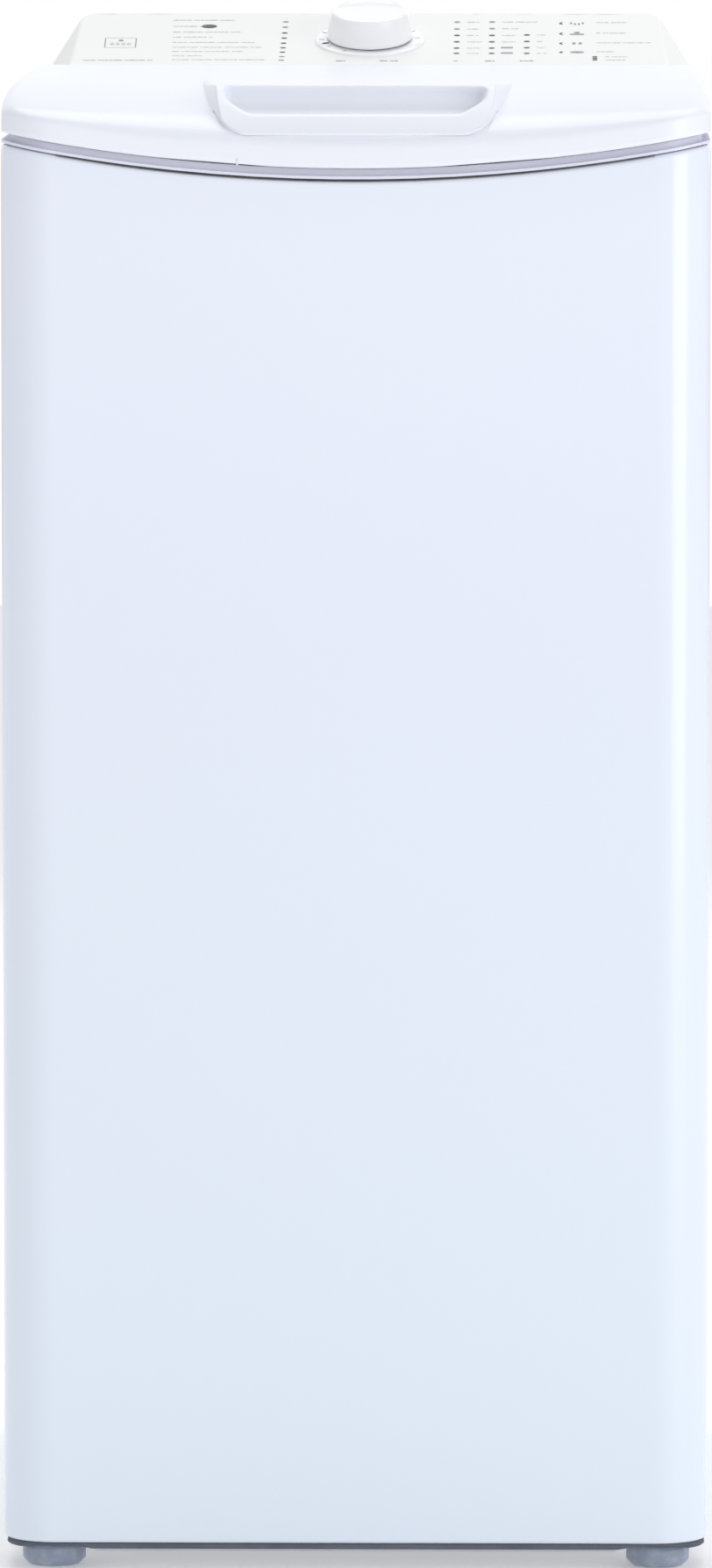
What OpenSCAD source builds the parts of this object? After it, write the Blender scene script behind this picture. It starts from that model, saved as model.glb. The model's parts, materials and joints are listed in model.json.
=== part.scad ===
// Slim top-loading washing machine with a horizontal drum.
// Frame: origin on the floor under the middle, +X to the right, +Y to the back, +Z up.

/* [Cabinet] */
// Outer width
body_w = 400; // [396:1:404]
// Height of the front panel's top edge at its middle
panel_top = 789; // [787:1:791]
// Radius of the upright front corners
corner_r = 30; // [26:1:34]
// Thickness of the painted sheet
sheet = 1; // [0.8:0.1:1.2]

/* [Lid] */
// Height of the flat of the lid
lid_top = 841.5; // [841:0.5:843]
// How far back from the front edge the lid's roll begins
lid_roll = 200; // [180:5:220]
// Height of the upright face below the roll
lid_face = 14; // [10:1:16]

/* [Console] */
// Radius of the console's hollow top
console_r = 688; // [670:1:710]
// Radius of the programme knob at its foot
knob_r = 26; // [24:0.5:27]

/* [Drum] */
// Outer radius of the drum
drum_r = 219; // [217:0.5:220]
// Half of the drum's length
drum_half = 140; // [138:1:141]
// Outer radius of the tub
tub_r = 238; // [237:0.5:239]

/* [Hidden] */
$fn = 64;

// cabinet
front_y = -300;
back_y = 284;
panel_bottom = 17;
panel_return = -232;
seam_r = 1010;
side_top = panel_top + body_w * body_w / 8 / seam_r - 0.3;
back_top = 800;
deck_z = 783;
rear_deck_z = 812;
foot_spots = [[-172, -262], [172, -262], [-172, 247], [172, 247]];

// lid and its hinge
lid_low = panel_top + 7;
lid_back = 139;
lid_t = 2.5;
barrel_r = 9;
hinge_y = lid_back - barrel_r;
hinge_z = lid_top - barrel_r;
hinge_x = 153;
pin_r = 3;
hood_half = 80;
hood_back = -90;
grip_half = 71;

// console: its top is a trough whose axis lies above and in front of it
console_y = 142;
trough_y = 39.4;
fascia_front_z = 832.2;
trough_z = fascia_front_z + sqrt(console_r * console_r - pow(console_y - trough_y, 2));
fascia_t = 2.5;
console_rear = 283;
fascia_corner = [183, console_y, fascia_front_z];
rear_corner = [169, console_rear, 869];
side_tilt = 57.75;
side_turn = -6.83;
skirt_half = body_w / 2 - 0.7;
knob_y = 235;
button_y = 168;
button_r = 4.95;
button_xs = [-16, 12, 53, 74, 95];

// tub, drum and drive
tub_y = -35;
tub_z = 400;
tub_t = 3;
tub_half = 152;
mouth_w = 244;
mouth_d = 304;
mouth_round = 22;
neck_top = 690;
collar_z = 735;
drum_t = 1.2;
shaft_r = 10;
bearing_r = 20;
flap_half = 100.5;
flap_y = 122.3;
flap_pin_z = sqrt(pow(drum_r - 1.5, 2) - flap_y * flap_y);
latch_angle = 5.2;
pulley_x = 177;
pulley_w = 11;
pulley_r = 130;
motor_pulley_r = 11;
motor_y = 100;
motor_z = 112;
motor_r = 52;
run = 0.05;
spring_x = 178;
spring_ys = [-185, 115];
spring_low = 557;
spring_high = 700;
damper_spots = [[-125, -130], [125, -130], [-125, 60]];
pump_y = -190;
pump_z = 56;
valve_x = 140;
valve_z = 738;
drain_x = -140;
drain_z = 700;
transit_spots = [[-110, 560], [110, 560], [0, 250]];

// spray nozzle through the collar, above the deck's underside
nozzle_x = [60, 110];
nozzle_z = [764, 773];

// ---- shared shapes ----

// Cabinet plan, moved in by t, with rounded front corners, ending at y1
module plan(t = 0, y1 = back_y) {
    x = body_w / 2 - t;
    r = corner_r - t;
    translate([-x, front_y + t + r]) square([2 * x, y1 - front_y - t - r]);
    translate([-x + r, front_y + t]) square([2 * (x - r), r + 1]);
    for (s = [-1, 1]) translate([s * (x - r), front_y + t + r]) circle(r);
}

module plan_ring(t0, t1, y1a = back_y, y1b = back_y + 1) {
    difference() {
        plan(t0, y1a);
        plan(t1, y1b);
    }
}

// Space above the curved seam that passes z0 at the middle of the front
module above_seam(z0) {
    translate([0, 0, z0 + seam_r]) rotate([90, 0, 0])
        cylinder(r = seam_r, h = 1400, center = true, $fn = 720);
}

// Rectangle with round corners about the origin
module round_rect(w, d, r) {
    square([w - 2 * r, d], center = true);
    square([w, d - 2 * r], center = true);
    for (x = [-1, 1], y = [-1, 1]) translate([x * (w / 2 - r), y * (d / 2 - r)]) circle(r);
}

// Box by its two corners
module block(a, b) {
    translate(a) cube(b - a);
}

// Cylinder along X from x0 to x1
module rod_x(r, x0, x1) {
    translate([x0, 0, 0]) rotate([0, 90, 0]) cylinder(r = r, h = x1 - x0);
}

// Cylinder along Y from y0 to y1
module rod_y(r, y0, y1) {
    translate([0, y0, 0]) rotate([-90, 0, 0]) cylinder(r = r, h = y1 - y0);
}

// Extrudes a y-z outline along X from x0 to x1
module along_x(x0, x1) {
    translate([x0, 0, 0]) rotate([90, 0, 90]) linear_extrude(x1 - x0) children();
}

module at_tub() {
    translate([0, tub_y, tub_z]) children();
}

module at_motor() {
    translate([0, motor_y, motor_z]) children();
}

module mirrored() {
    children();
    mirror([1, 0, 0]) children();
}

// ---- cabinet ----

module front_panel() {
    color("aliceblue") difference() {
        union() {
            translate([0, 0, panel_bottom]) linear_extrude(800)
                plan_ring(0, sheet, panel_return, panel_return + 1);
            translate([0, 0, panel_bottom]) linear_extrude(sheet)
                plan_ring(0, 12, panel_return, panel_return + 1);
        }
        above_seam(panel_top);
    }
}

module side_panel() {
    x = body_w / 2;
    block([x - sheet, panel_return + 0.5, panel_bottom], [x, back_y - sheet, side_top]);
    block([x - 2 * sheet, panel_return - 13, panel_bottom + 14],
        [x - sheet, panel_return + 6, side_top - 20]);
    block([x - 15, back_y - 2 * sheet, panel_bottom], [x, back_y - sheet, side_top]);
    block([x - 12, panel_return + 14, panel_bottom], [x, back_y - sheet, panel_bottom + sheet]);
}

module side_panel_right() {
    color("lavender") side_panel();
}

module side_panel_left() {
    color("lavender") mirror([1, 0, 0]) side_panel();
}

module at_valve() {
    translate([valve_x, 0, valve_z]) children();
}

module at_drain() {
    translate([drain_x, 0, drain_z]) children();
}

module at_gland() {
    translate([-150, 0, 120]) children();
}

module back_panel() {
    x = body_w / 2 - 1.2;
    color("lightgrey") difference() {
        union() {
            block([-x, back_y - sheet, panel_bottom], [x, back_y, back_top]);
            for (z = [330, 390, 450]) block([-120, back_y - sheet, z], [120, back_y + 1.5, z + 14]);
        }
        at_valve() rod_y(15, back_y - 10, back_y + 10);
        at_drain() rod_y(13, back_y - 10, back_y + 10);
        at_gland() rod_y(9, back_y - 10, back_y + 10);
        for (p = transit_spots) translate([p[0], 0, p[1]]) rod_y(11, back_y - 10, back_y + 10);
    }
}

module base_tray() {
    color("whitesmoke") difference() {
        union() {
            translate([0, 0, 18]) linear_extrude(4) plan(3, 280);
            translate([0, 0, 18]) linear_extrude(42) plan_ring(3, 6, 280, 277);
            for (p = foot_spots) translate([p[0], p[1], 16]) cylinder(r = 13, h = 36);
            for (y = [-80, 20, 120]) block([-190, y, 21], [190, y + 4, 34]);
            // front rail: a web and a low flange between the front feet
            block([-148, -266, 10.4], [148, -262, 19]);
            block([-148, -286, 10.4], [148, -262, 12.4]);
        }
        for (p = foot_spots) translate([p[0], p[1], 10]) cylinder(r = 5 + run, h = 60);
    }
}

module foot(i) {
    stem = 34;
    color("slategray") translate([foot_spots[i][0], foot_spots[i][1], 0]) {
        rotate_extrude() polygon([[0, 0], [14.5, 0], [18, 3], [18, 11.5], [16.5, 13], [0, 13]]);
        translate([0, 0, 12]) cylinder(r = 9, h = 3.6, $fn = 6);
        translate([0, 0, 12]) cylinder(r = 5, h = stem);
    }
}

module foot_front_left() foot(0);
module foot_front_right() foot(1);
module foot_back_left() foot(2);
module foot_back_right() foot(3);

module top_frame() {
    mouth_y = tub_y;
    inner = 5;
    inner_half = body_w / 2 - inner;
    wall = 2.5;
    color("white") difference() {
        union() {
            // skirt inside the cabinet, up to the recess under the lid
            intersection() {
                translate([0, 0, 770]) linear_extrude(70) plan_ring(inner, inner + wall, 282, 279.5);
                union() {
                    block([-200, -300, 760], [200, console_y - 1, 850]);
                    block([-200, console_y - 2, 760], [200, 283, rear_deck_z]);
                }
            }
            // lip that lies over the cabinet's top edge
            intersection() {
                translate([0, 0, 780]) linear_extrude(50) plan_ring(0.3, inner + wall, 282, 279.5);
                difference() {
                    above_seam(panel_top + 0.6);
                    above_seam(panel_top + 2.2);
                }
            }
            translate([0, 0, deck_z]) linear_extrude(3) plan(inner, 282);
            block([-inner_half, console_y - 1, deck_z], [inner_half, console_y + 2, rear_deck_z]);
            block([-inner_half, console_y - 1, rear_deck_z - 3], [inner_half, 282, rear_deck_z]);
            translate([0, mouth_y, collar_z]) linear_extrude(deck_z - collar_z + 3)
                round_rect(mouth_w + 10, mouth_d + 10, mouth_round + 5);
        }
        above_seam_cut();
        translate([0, mouth_y, 700]) linear_extrude(100)
            round_rect(mouth_w + 4, mouth_d + 4, mouth_round + 2);
        block([nozzle_x[0] - 0.2, 115, nozzle_z[0] - 0.2], [nozzle_x[1] + 0.2, 123.9, nozzle_z[1] + 0.2]);
        block([56, -251, deck_z - 1], [76, -232, deck_z + 4]);
        mirrored() block([skirt_half - 2.7, console_y - 0.2, side_top], [skirt_half + 1, 269.2, rear_deck_z + 1]);
    }
}

// Trims what stands above the recess in front of the console
module above_seam_cut() {
    intersection() {
        above_seam(lid_low - 0.7);
        block([-210, -310, 785], [210, console_y - 1, 900]);
    }
}

module hinge_brackets() {
    half = 3;
    color("silver") mirrored() {
        block([hinge_x - half, hinge_y - 5, deck_z + 3], [hinge_x + half, hinge_y + 5, hinge_z]);
        translate([0, hinge_y, hinge_z]) {
            rod_x(5, hinge_x - half, hinge_x + half);
            rod_x(pin_r, hinge_x - 14, hinge_x + 14);
        }
    }
}

module lid_lock() {
    color("dimgray") difference() {
        block([50, -262, 752], [104, -224, deck_z]);
        block([56, -251, 760], [76, -232, deck_z + 4]);
    }
}

// ---- console ----

module console_plan(t = 0) {
    r = 14;
    half = skirt_half - t;
    polygon([[-half, console_y + t], [half, console_y + t], [half, console_rear - r],
        [skirt_half - r, console_rear - t], [r - skirt_half, console_rear - t], [-half, console_rear - r]]);
    for (s = [-1, 1]) translate([s * (skirt_half - r), console_rear - r]) circle(r - t);
}

// The console's outside without its hollow top: sides that lean out to the cabinet's width
module console_form(t = 0) {
    difference() {
        translate([0, 0, rear_deck_z]) linear_extrude(80) console_plan(t);
        mirrored() translate(fascia_corner) rotate([0, side_tilt, side_turn]) slab_above(t);
        mirrored() translate(rear_corner) rotate([0, side_tilt, 45]) slab_above(t);
    }
}

// Everything above the XY plane lowered by t
module slab_above(t) {
    translate([-300, -300, -t]) cube([600, 600, 300]);
}

// Space above the console's top, lowered by t
module above_console(t = 0) {
    translate([0, trough_y, trough_z]) rotate([0, 90, 0])
        cylinder(r = console_r + t, h = 500, center = true, $fn = 720);
}

// Height and slope of the console's top at y
function top_z(y) = trough_z - sqrt(console_r * console_r - pow(y - trough_y, 2));
function top_slope(y) = asin((y - trough_y) / console_r);

// Puts its children on the console's top, with +Z along the normal
module on_console(x, y) {
    translate([x, y, top_z(y)]) rotate([top_slope(y), 0, 0]) children();
}

module console_shell() {
    color("whitesmoke") {
        difference() {
            console_form();
            translate([0, 0, -1]) console_form(2.5);
            above_console(fascia_t);
        }
        mirrored() block([skirt_half - 2.5, console_y, side_top + 0.7], [skirt_half, 269, rear_deck_z + 1]);
    }
}

module console_fascia() {
    color("ivory") difference() {
        intersection() {
            console_form();
            above_console(fascia_t);
        }
        above_console();
        on_console(0, knob_y) cylinder(r = knob_r + 7, h = 5);
        on_console(0, knob_y) translate([0, 0, -20]) cylinder(r = 4, h = 30);
        for (x = button_xs) on_console(x, button_y) translate([0, 0, -20])
            cylinder(r = button_r + run, h = 30);
    }
}

module control_board() {
    color("seagreen") difference() {
        union() {
            block([-150, 158, 815], [150, 274, 816.6]);
            on_console(0, knob_y) translate([-11, -11, -26]) cube([22, 22, 12]);
            for (x = button_xs) translate([x - 4, button_y - 4, 816]) cube([8, 8, 8]);
        }
        on_console(0, knob_y) translate([0, 0, -40]) cylinder(r = 3 + run, h = 60);
    }
}

module knob_bezel() {
    color("white") on_console(0, knob_y) difference() {
        cylinder(r = knob_r + 7, h = 2);
        translate([0, 0, -1]) cylinder(r = knob_r - 2, h = 6);
    }
}

module programme_knob() {
    r = knob_r;
    color("white") on_console(0, knob_y) {
        translate([0, 0, 2.6]) rotate_extrude()
            polygon([[0, 0], [r - 0.6, 0], [r, 0.8], [r, 2], [r - 2, 15], [r - 3.4, 17],
                [r - 5, 17.2], [0, 16.6]]);
        translate([0, 0, -22]) cylinder(r = 3, h = 26);
    }
}

module button(i) {
    color("white") on_console(button_xs[i], button_y) {
        translate([0, 0, -5]) cylinder(r = button_r, h = 7);
        translate([0, 0, -5.5]) cylinder(r = 6.4, h = 1.5);
    }
}

module button_1() button(0);
module button_2() button(1);
module button_3() button(2);
module button_4() button(3);
module button_5() button(4);

// ---- lid ----

// Side outline of the lid moved in by t: flat top that rolls down to the front in a quarter ellipse
module lid_outline(t = 0) {
    a = lid_roll - t;
    b = lid_top - lid_low - lid_face - t;
    z0 = lid_low + lid_face;
    y0 = front_y + lid_roll;
    polygon(concat(
        [for (k = [0:15]) let (u = 90 * k / 15) [y0 - (a - 0.3) * cos(u), z0 + b * sin(u)]],
        [[hinge_y, lid_top - t], [hinge_y, 780], [y0 - a + 0.3, 780]]));
}

// The lid as one solid, moved in by t
module lid_form(t = 0) {
    shoulder = 8 - t;
    half = body_w / 2 - 0.3 - t;
    intersection() {
        translate([0, 0, 780]) linear_extrude(70) plan(0.3 + t, hinge_y);
        along_x(-200, 200) lid_outline(t);
        rotate([90, 0, 0]) linear_extrude(700, center = true) {
            translate([-half, 700]) square([2 * half, lid_top - t - shoulder - 700]);
            translate([-half + shoulder, 700]) square([2 * (half - shoulder), lid_top - t - 700]);
            for (s = [-1, 1]) translate([s * (half - shoulder), lid_top - t - shoulder]) circle(shoulder);
        }
    }
}

// Raised hood over the finger grip
module hood_form(t = 0) {
    intersection() {
        along_x(-100, 100) polygon([[hood_back, lid_top - t], [-268 + t, lid_top - t],
            [-274 + t, lid_top - 2 - t], [-296 + t, 819], [-297 + t, 814], [-293 + t, 810], [-240, 810]]);
        translate([0, 0, 790]) linear_extrude(60) difference() {
            translate([t - hood_half - 8, front_y]) square([2 * (hood_half + 8 - t), hood_back - front_y]);
            for (s = [-1, 1]) polygon([[s * (hood_half - t), front_y - 1], [s * (hood_half + 8 - t), -180],
                [s * 120, -180], [s * 120, front_y - 1]]);
        }
    }
}

// Scoop under the front edge of the hood, for the fingers
module finger_grip() {
    along_x(-grip_half, grip_half) polygon([[-310, 824], [-286, 825], [-275, 826.8], [-266, 835.5],
        [-272, lid_top + 0.1], [-310, lid_top + 0.1]]);
}

module lid_shell() {
    wall = 18;
    color("ghostwhite") difference() {
        union() {
            intersection() {
                difference() {
                    lid_form();
                    lid_form(lid_t);
                }
                above_seam(lid_low);
            }
            difference() {
                hood_form();
                hood_form(lid_t);
                lid_form(lid_t);
            }
            intersection() {
                union() {
                    lid_form();
                    hood_form();
                }
                block([-grip_half - lid_t, -299, 821.5], [grip_half + lid_t, -258, lid_top]);
            }
            // hinge barrel and the back wall under it
            translate([0, hinge_y, hinge_z]) rod_x(barrel_r, -190, 190);
            block([-197, hinge_y, 816], [197, hinge_y + 4, hinge_z]);
            mirrored() block([hinge_x - wall, hinge_y - 12, 820], [hinge_x + wall, hinge_y + 2, hinge_z + 3]);
        }
        finger_grip();
        mirrored() {
            block([hinge_x - 4.5, hinge_y - 6.5, 780], [hinge_x + 4.5, hinge_y + 20, hinge_z + 6]);
            translate([0, hinge_y, hinge_z]) rod_x(pin_r + run, hinge_x - 15, hinge_x + 15);
        }
    }
}

module lid_liner() {
    low = lid_low + 1.5;
    color("white") intersection() {
        union() {
            translate([0, 0, low]) linear_extrude(2) plan(10, 112);
            translate([0, 0, low]) linear_extrude(20) plan_ring(10, 12, 112, 110);
            translate([0, 0, low + 18]) linear_extrude(2) plan_ring(2, 12, 112, 110);
        }
        lid_form(lid_t);
    }
}

tray_ys = [-150, -56];
pocket_xs = [[-102, -36], [-33, 33], [36, 102]];

module dispenser_tray() {
    color("gainsboro") difference() {
        block([-105, tray_ys[0], 758], [105, tray_ys[1], lid_low + 1.5]);
        for (p = pocket_xs) block([p[0], tray_ys[0] - 1, 761], [p[1], tray_ys[1] - 3, lid_low - 2]);
    }
}

module lid_catch() {
    color("gray") difference() {
        block([61, -243, 768], [71, -238, lid_low + 1.5]);
        block([64, -245, 772], [68, -236, 780]);
    }
}

// ---- tub and what rides on it ----

module tub_solid() {
    at_tub() rod_x(tub_r, -200, 200);
}

module mouth_space(grow = 0) {
    translate([0, tub_y, tub_z]) linear_extrude(500)
        round_rect(mouth_w + 2 * grow, mouth_d + 2 * grow, mouth_round + grow);
}

module tub_wall() {
    color("gainsboro") difference() {
        at_tub() rod_x(tub_r, -tub_half, tub_half);
        at_tub() rod_x(tub_r - tub_t, -tub_half - 1, tub_half + 1);
        mouth_space();
    }
}

module tub_neck() {
    color("gainsboro") difference() {
        intersection() {
            mouth_space(3);
            block([-200, -300, tub_z + 100], [200, 200, neck_top]);
        }
        mouth_space();
        tub_solid();
    }
}

module tub_end() {
    color("lightgray") {
        at_tub() difference() {
            union() {
                rod_x(tub_r, tub_half, tub_half + 4);
                rod_x(34, tub_half + 3, tub_half + 22);
                for (a = [0:60:300]) rotate([a, 0, 0])
                    block([tub_half + 3, -3, 30], [tub_half + 14, 3, tub_r - 15]);
            }
            rod_x(bearing_r, tub_half + 5, tub_half + 30);
            rod_x(13, tub_half - 1, tub_half + 8);
        }
        // ears that carry the suspension springs
        for (y = spring_ys)
            block([tub_half + 2, y - 11, spring_low - 10], [spring_x + 9, y + 11, spring_low - 1]);
    }
}

module tub_end_left() mirror([1, 0, 0]) tub_end();
module tub_end_right() {
    difference() {
        tub_end();
        color("lightgray") at_tub() for (s = [-1, 1]) rotate([s * 8, 0, 0]) translate([0, 0, -drum_r - 8])
            rod_x(3.6, tub_half - 1, tub_half + 30);
    }
}

module counterweights() {
    color("darkgray") difference() {
        union() {
            block([-120, -286, 545], [120, -194, 655]);
            block([-120, 128, 545], [120, 214, 640]);
        }
        tub_solid();
    }
}

module drum_bearings() {
    color("silver") at_tub() mirrored() difference() {
        rod_x(bearing_r, tub_half + 6, tub_half + 20);
        rod_x(shaft_r + run, tub_half, tub_half + 30);
    }
}

// Rod heater: two legs under the drum joined by a straight end
module heater() {
    reach = drum_r + 8;
    splay = 8;
    color("slategray") at_tub() {
        for (s = [-1, 1]) rotate([s * splay, 0, 0]) translate([0, 0, -reach]) rod_x(3.5, -100, tub_half + 14);
        translate([-97, 0, -reach * cos(splay)]) rod_y(2.9, -reach * sin(splay), reach * sin(splay));
    }
}

module motor_housing() {
    color("dimgray") difference() {
        union() {
            at_motor() rod_x(motor_r, -50, 112);
            for (x = [-40, 90]) along_x(x, x + 12)
                polygon([[motor_y - 30, motor_z + 30], [motor_y + 40, motor_z + 30],
                    [motor_y + 10, motor_z + 130], [motor_y - 90, motor_z + 100]]);
        }
        tub_solid();
        at_motor() rod_x(6 + run, -42, 120);
    }
}

module motor_rotor() {
    color("silver") at_motor() {
        rod_x(6, -40, pulley_x + pulley_w);
        rod_x(motor_pulley_r, pulley_x, pulley_x + pulley_w);
    }
}

// Outline of a belt over both pulleys, g outside their rims
module belt_outline(g) {
    dy = motor_y - tub_y;
    dz = motor_z - tub_z;
    aim = atan2(dz, dy);
    lean = acos((pulley_r - motor_pulley_r) / norm([dy, dz]));
    polygon(concat(
        [for (k = [0:48]) let (a = aim + lean + (360 - 2 * lean) * k / 48)
            [tub_y + (pulley_r + g) * cos(a), tub_z + (pulley_r + g) * sin(a)]],
        [for (k = [0:10]) let (a = aim - lean + 2 * lean * k / 10)
            [motor_y + (motor_pulley_r + g) * cos(a), motor_z + (motor_pulley_r + g) * sin(a)]]));
}

module drive_belt() {
    color("black") along_x(pulley_x + 1, pulley_x + pulley_w - 1) difference() {
        belt_outline(2.3);
        belt_outline(0.3);
    }
}

module damper_tubes() {
    color("gray") for (p = damper_spots) translate([p[0], p[1], 22]) difference() {
        cylinder(r = 11, h = 84);
        translate([0, 0, 4]) cylinder(r = 8, h = 90);
    }
}

module damper_rods() {
    color("silver") difference() {
        for (p = damper_spots) translate([p[0], p[1], 0]) {
            translate([0, 0, 58]) cylinder(r = 4.5, h = 160);
            translate([0, 0, 58]) cylinder(r = 8 - run, h = 14);
            translate([0, 0, 172]) cylinder(r = 11, h = 40);
        }
        tub_solid();
    }
}

module spring_hangers() {
    wall = body_w / 2 - sheet;
    color("silver") mirrored() for (y = spring_ys) {
        block([spring_x - 9, y - 11, spring_high + 1], [wall, y + 11, spring_high + 5]);
        block([wall - 3, y - 11, spring_high - 20], [wall, y + 11, spring_high + 30]);
    }
}

// Helical wire of radius w round a vertical axis, as a swept six-sided tube
module coil(r, w, h, turns) {
    steps = 8;
    sides = 6;
    n = turns * steps;
    points = [for (i = [0:n], k = [0:sides - 1]) let (a = 360 * i / steps, b = 360 * k / sides)
        [(r + w * cos(b)) * cos(a), (r + w * cos(b)) * sin(a), w + (h - 2 * w) * i / n + w * sin(b)]];
    walls = [for (i = [0:n - 1], k = [0:sides - 1], half = [0, 1])
        let (next = (k + 1) % sides)
            half == 0 ? [i * sides + k, (i + 1) * sides + k, (i + 1) * sides + next]
                : [i * sides + k, (i + 1) * sides + next, i * sides + next]];
    ends = [[for (k = [0:sides - 1]) k], [for (k = [0:sides - 1]) (n + 1) * sides - 1 - k]];
    polyhedron(points, concat(walls, ends), convexity = 10);
}

module suspension_springs() {
    color("darkslategray") for (x = [-1, 1], y = spring_ys)
        translate([x * spring_x, y, spring_low]) coil(9, 1.6, spring_high - spring_low, 8);
}

module mouth_bellows() {
    rise = (collar_z - neck_top) / 9;
    color("dimgray") translate([0, tub_y, neck_top]) for (i = [0:8]) translate([0, 0, i * rise]) {
        out = i % 2 == 0 ? 0 : 7;
        linear_extrude(rise) difference() {
            round_rect(mouth_w + 8 + 2 * out, mouth_d + 8 + 2 * out, mouth_round + 4 + out);
            if (i % 2 == 0) round_rect(mouth_w + 2, mouth_d + 2, mouth_round + 1);
            else round_rect(mouth_w + 4, mouth_d + 4, mouth_round + 2);
        }
    }
}

// ---- drum ----

module drum_wall() {
    color("silver") at_tub() {
        difference() {
            rod_x(drum_r, -drum_half, drum_half);
            rod_x(drum_r - drum_t, -drum_half - 1, drum_half + 1);
            block([-102, -124, 100], [102, 124, 300]);
            block([-90.5, -126.5, 100], [90.5, 126.5, 300]);
        }
        for (s = [-1, 1]) translate([0, s * flap_y, flap_pin_z]) {
            rod_x(1.5, -101, 101);
            mirrored() rod_x(3, 91, 103);
        }
    }
}

module drum_end() {
    color("lightsteelblue") at_tub() {
        rod_x(drum_r - drum_t, drum_half - 1.5, drum_half);
        rod_x(35, drum_half - 1, drum_half + 8);
        rod_x(shaft_r, drum_half, pulley_x + pulley_w + 1);
    }
}

module drum_end_right() drum_end();
module drum_end_left() mirror([1, 0, 0]) intersection() {
    drum_end();
    block([0, -400, 0], [tub_half + 22, 400, 800]);
}

module drum_lifters() {
    color("white") at_tub() for (a = [120, 240]) rotate([a, 0, 0]) intersection() {
        along_x(-130, 130) polygon([[-38, drum_r + 2], [38, drum_r + 2], [30, drum_r - 12], [8, drum_r - 52],
            [-8, drum_r - 52], [-30, drum_r - 12]]);
        rod_x(drum_r - drum_t, -135, 135);
    }
}

module drum_pulley() {
    color("lightgray") at_tub() difference() {
        union() {
            difference() {
                rod_x(pulley_r, pulley_x, pulley_x + pulley_w);
                rod_x(pulley_r - 10, pulley_x - 1, pulley_x + pulley_w + 1);
            }
            rod_x(24, pulley_x, pulley_x + pulley_w);
            for (a = [0:60:300]) rotate([a, 0, 0])
                block([pulley_x + 2, -9, 20], [pulley_x + 8, 9, pulley_r - 5]);
        }
        rod_x(shaft_r, pulley_x - 1, pulley_x + pulley_w + 2);
    }
}

// Front drum flap in the tub's own place; the rear one is its mirror image
module flap() {
    difference() {
        union() {
            intersection() {
                difference() {
                    rod_x(drum_r, -flap_half, flap_half);
                    rod_x(drum_r - drum_t, -flap_half - 1, flap_half + 1);
                }
                block([-flap_half, -flap_y + 1.5, 100], [flap_half, -0.7, 300]);
            }
            // stiffening ribs under the sheet
            intersection() {
                difference() {
                    rod_x(drum_r - 0.4, -flap_half, flap_half);
                    rod_x(drum_r - 7, -flap_half - 1, flap_half + 1);
                }
                for (x = [-70, 0, 70]) block([x - 2, 1.5 - flap_y, 100], [x + 2, -0.7, 300]);
            }
            translate([0, -flap_y, flap_pin_z]) rod_x(3, -90, 90);
        }
        translate([0, -flap_y, flap_pin_z]) rod_x(1.5 + run, -110, 110);
        mirrored() block([90.5, -130, 100], [110, -flap_y + 4.2, 300]);
    }
}

module at_latch() {
    rotate([-latch_angle, 0, 0]) translate([0, 0, drum_r]) children();
}

module flap_front() {
    color("silver") at_tub() flap();
}

module flap_rear() {
    color("silver") at_tub() difference() {
        union() {
            mirror([0, 1, 0]) flap();
            at_latch() translate([0, 0, -8]) cylinder(r = 11, h = 9);
        }
        at_latch() translate([0, 0, -20]) cylinder(r = 8 + run, h = 40);
    }
}

module flap_latch() {
    color("dodgerblue") at_tub() at_latch() translate([0, 0, -7]) cylinder(r = 8, h = 10);
}

// ---- water and power ----

module fill_valve() {
    color("white") at_valve() difference() {
        union() {
            block([-20, 238, -22], [20, back_y - sheet, 22]);
            rod_y(14.6, back_y - sheet, back_y + 1);
            rod_y(17, back_y + 0.2, back_y + 3);
            rod_y(13.2, back_y + 2, 300);
        }
        rod_y(9, back_y - 4, 301);
    }
}

module fill_hose() {
    color("gray") {
        translate([valve_x, 0, valve_z]) rod_y(8, 133, 238);
        block([nozzle_x[0], 124, collar_z + 1], [valve_x + 10, 134, nozzle_z[1] + 3]);
        block([nozzle_x[0], 118, nozzle_z[0]], [nozzle_x[1], 125, nozzle_z[1]]);
    }
}

module drain_pump() {
    color("gainsboro") difference() {
        translate([0, pump_y, pump_z]) union() {
            rod_x(28, -20, 20);
            rod_x(20, 18, 75);
            block([-18, -24, 22 - pump_z], [18, 24, -14]);
            block([40, -12, 22 - pump_z], [60, 12, -14]);
            translate([0, 14, 20]) cylinder(r = 13, h = 34);
            translate([0, 0, -12]) rod_y(9, 20, 60);
        }
        translate([0, pump_y, pump_z]) {
            rod_x(24, -15, 15);
            rod_x(2.5 + run, 14, 60);
            translate([0, 14, 10]) cylinder(r = 10, h = 50);
            translate([0, 0, -12]) rod_y(6.5, 10, 61);
        }
    }
}

module pump_impeller() {
    color("white") translate([0, pump_y, pump_z]) {
        rod_x(21, 8, 12);
        rod_x(5, -12, 12);
        rod_x(2.5, 11, 56);
        for (a = [0:45:315]) rotate([a, 0, 0]) block([-10, -1, 4], [9, 1, 20]);
    }
}

module drain_outlet() {
    color("dimgray") at_drain() difference() {
        union() {
            rod_y(12.4, 240, back_y);
            rod_y(16, back_y, back_y + 2.5);
            rod_y(10.5, back_y + 2, 298);
        }
        rod_y(8, 239, 299);
    }
}

module cable_gland() {
    color("dimgray") at_gland() difference() {
        union() {
            rod_y(8.8, back_y - 8, back_y + 1);
            rod_y(12, back_y, back_y + 6);
            rod_y(13, back_y - 8, back_y - sheet - 0.2);
        }
        rod_y(3.8, back_y - 10, back_y + 10);
    }
}

module transit_plugs() {
    color("gainsboro") for (p = transit_spots) translate([p[0], 0, p[1]]) {
        rod_y(14, back_y, back_y + 3);
        rod_y(10.8, back_y - 5, back_y + 1);
    }
}

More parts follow.
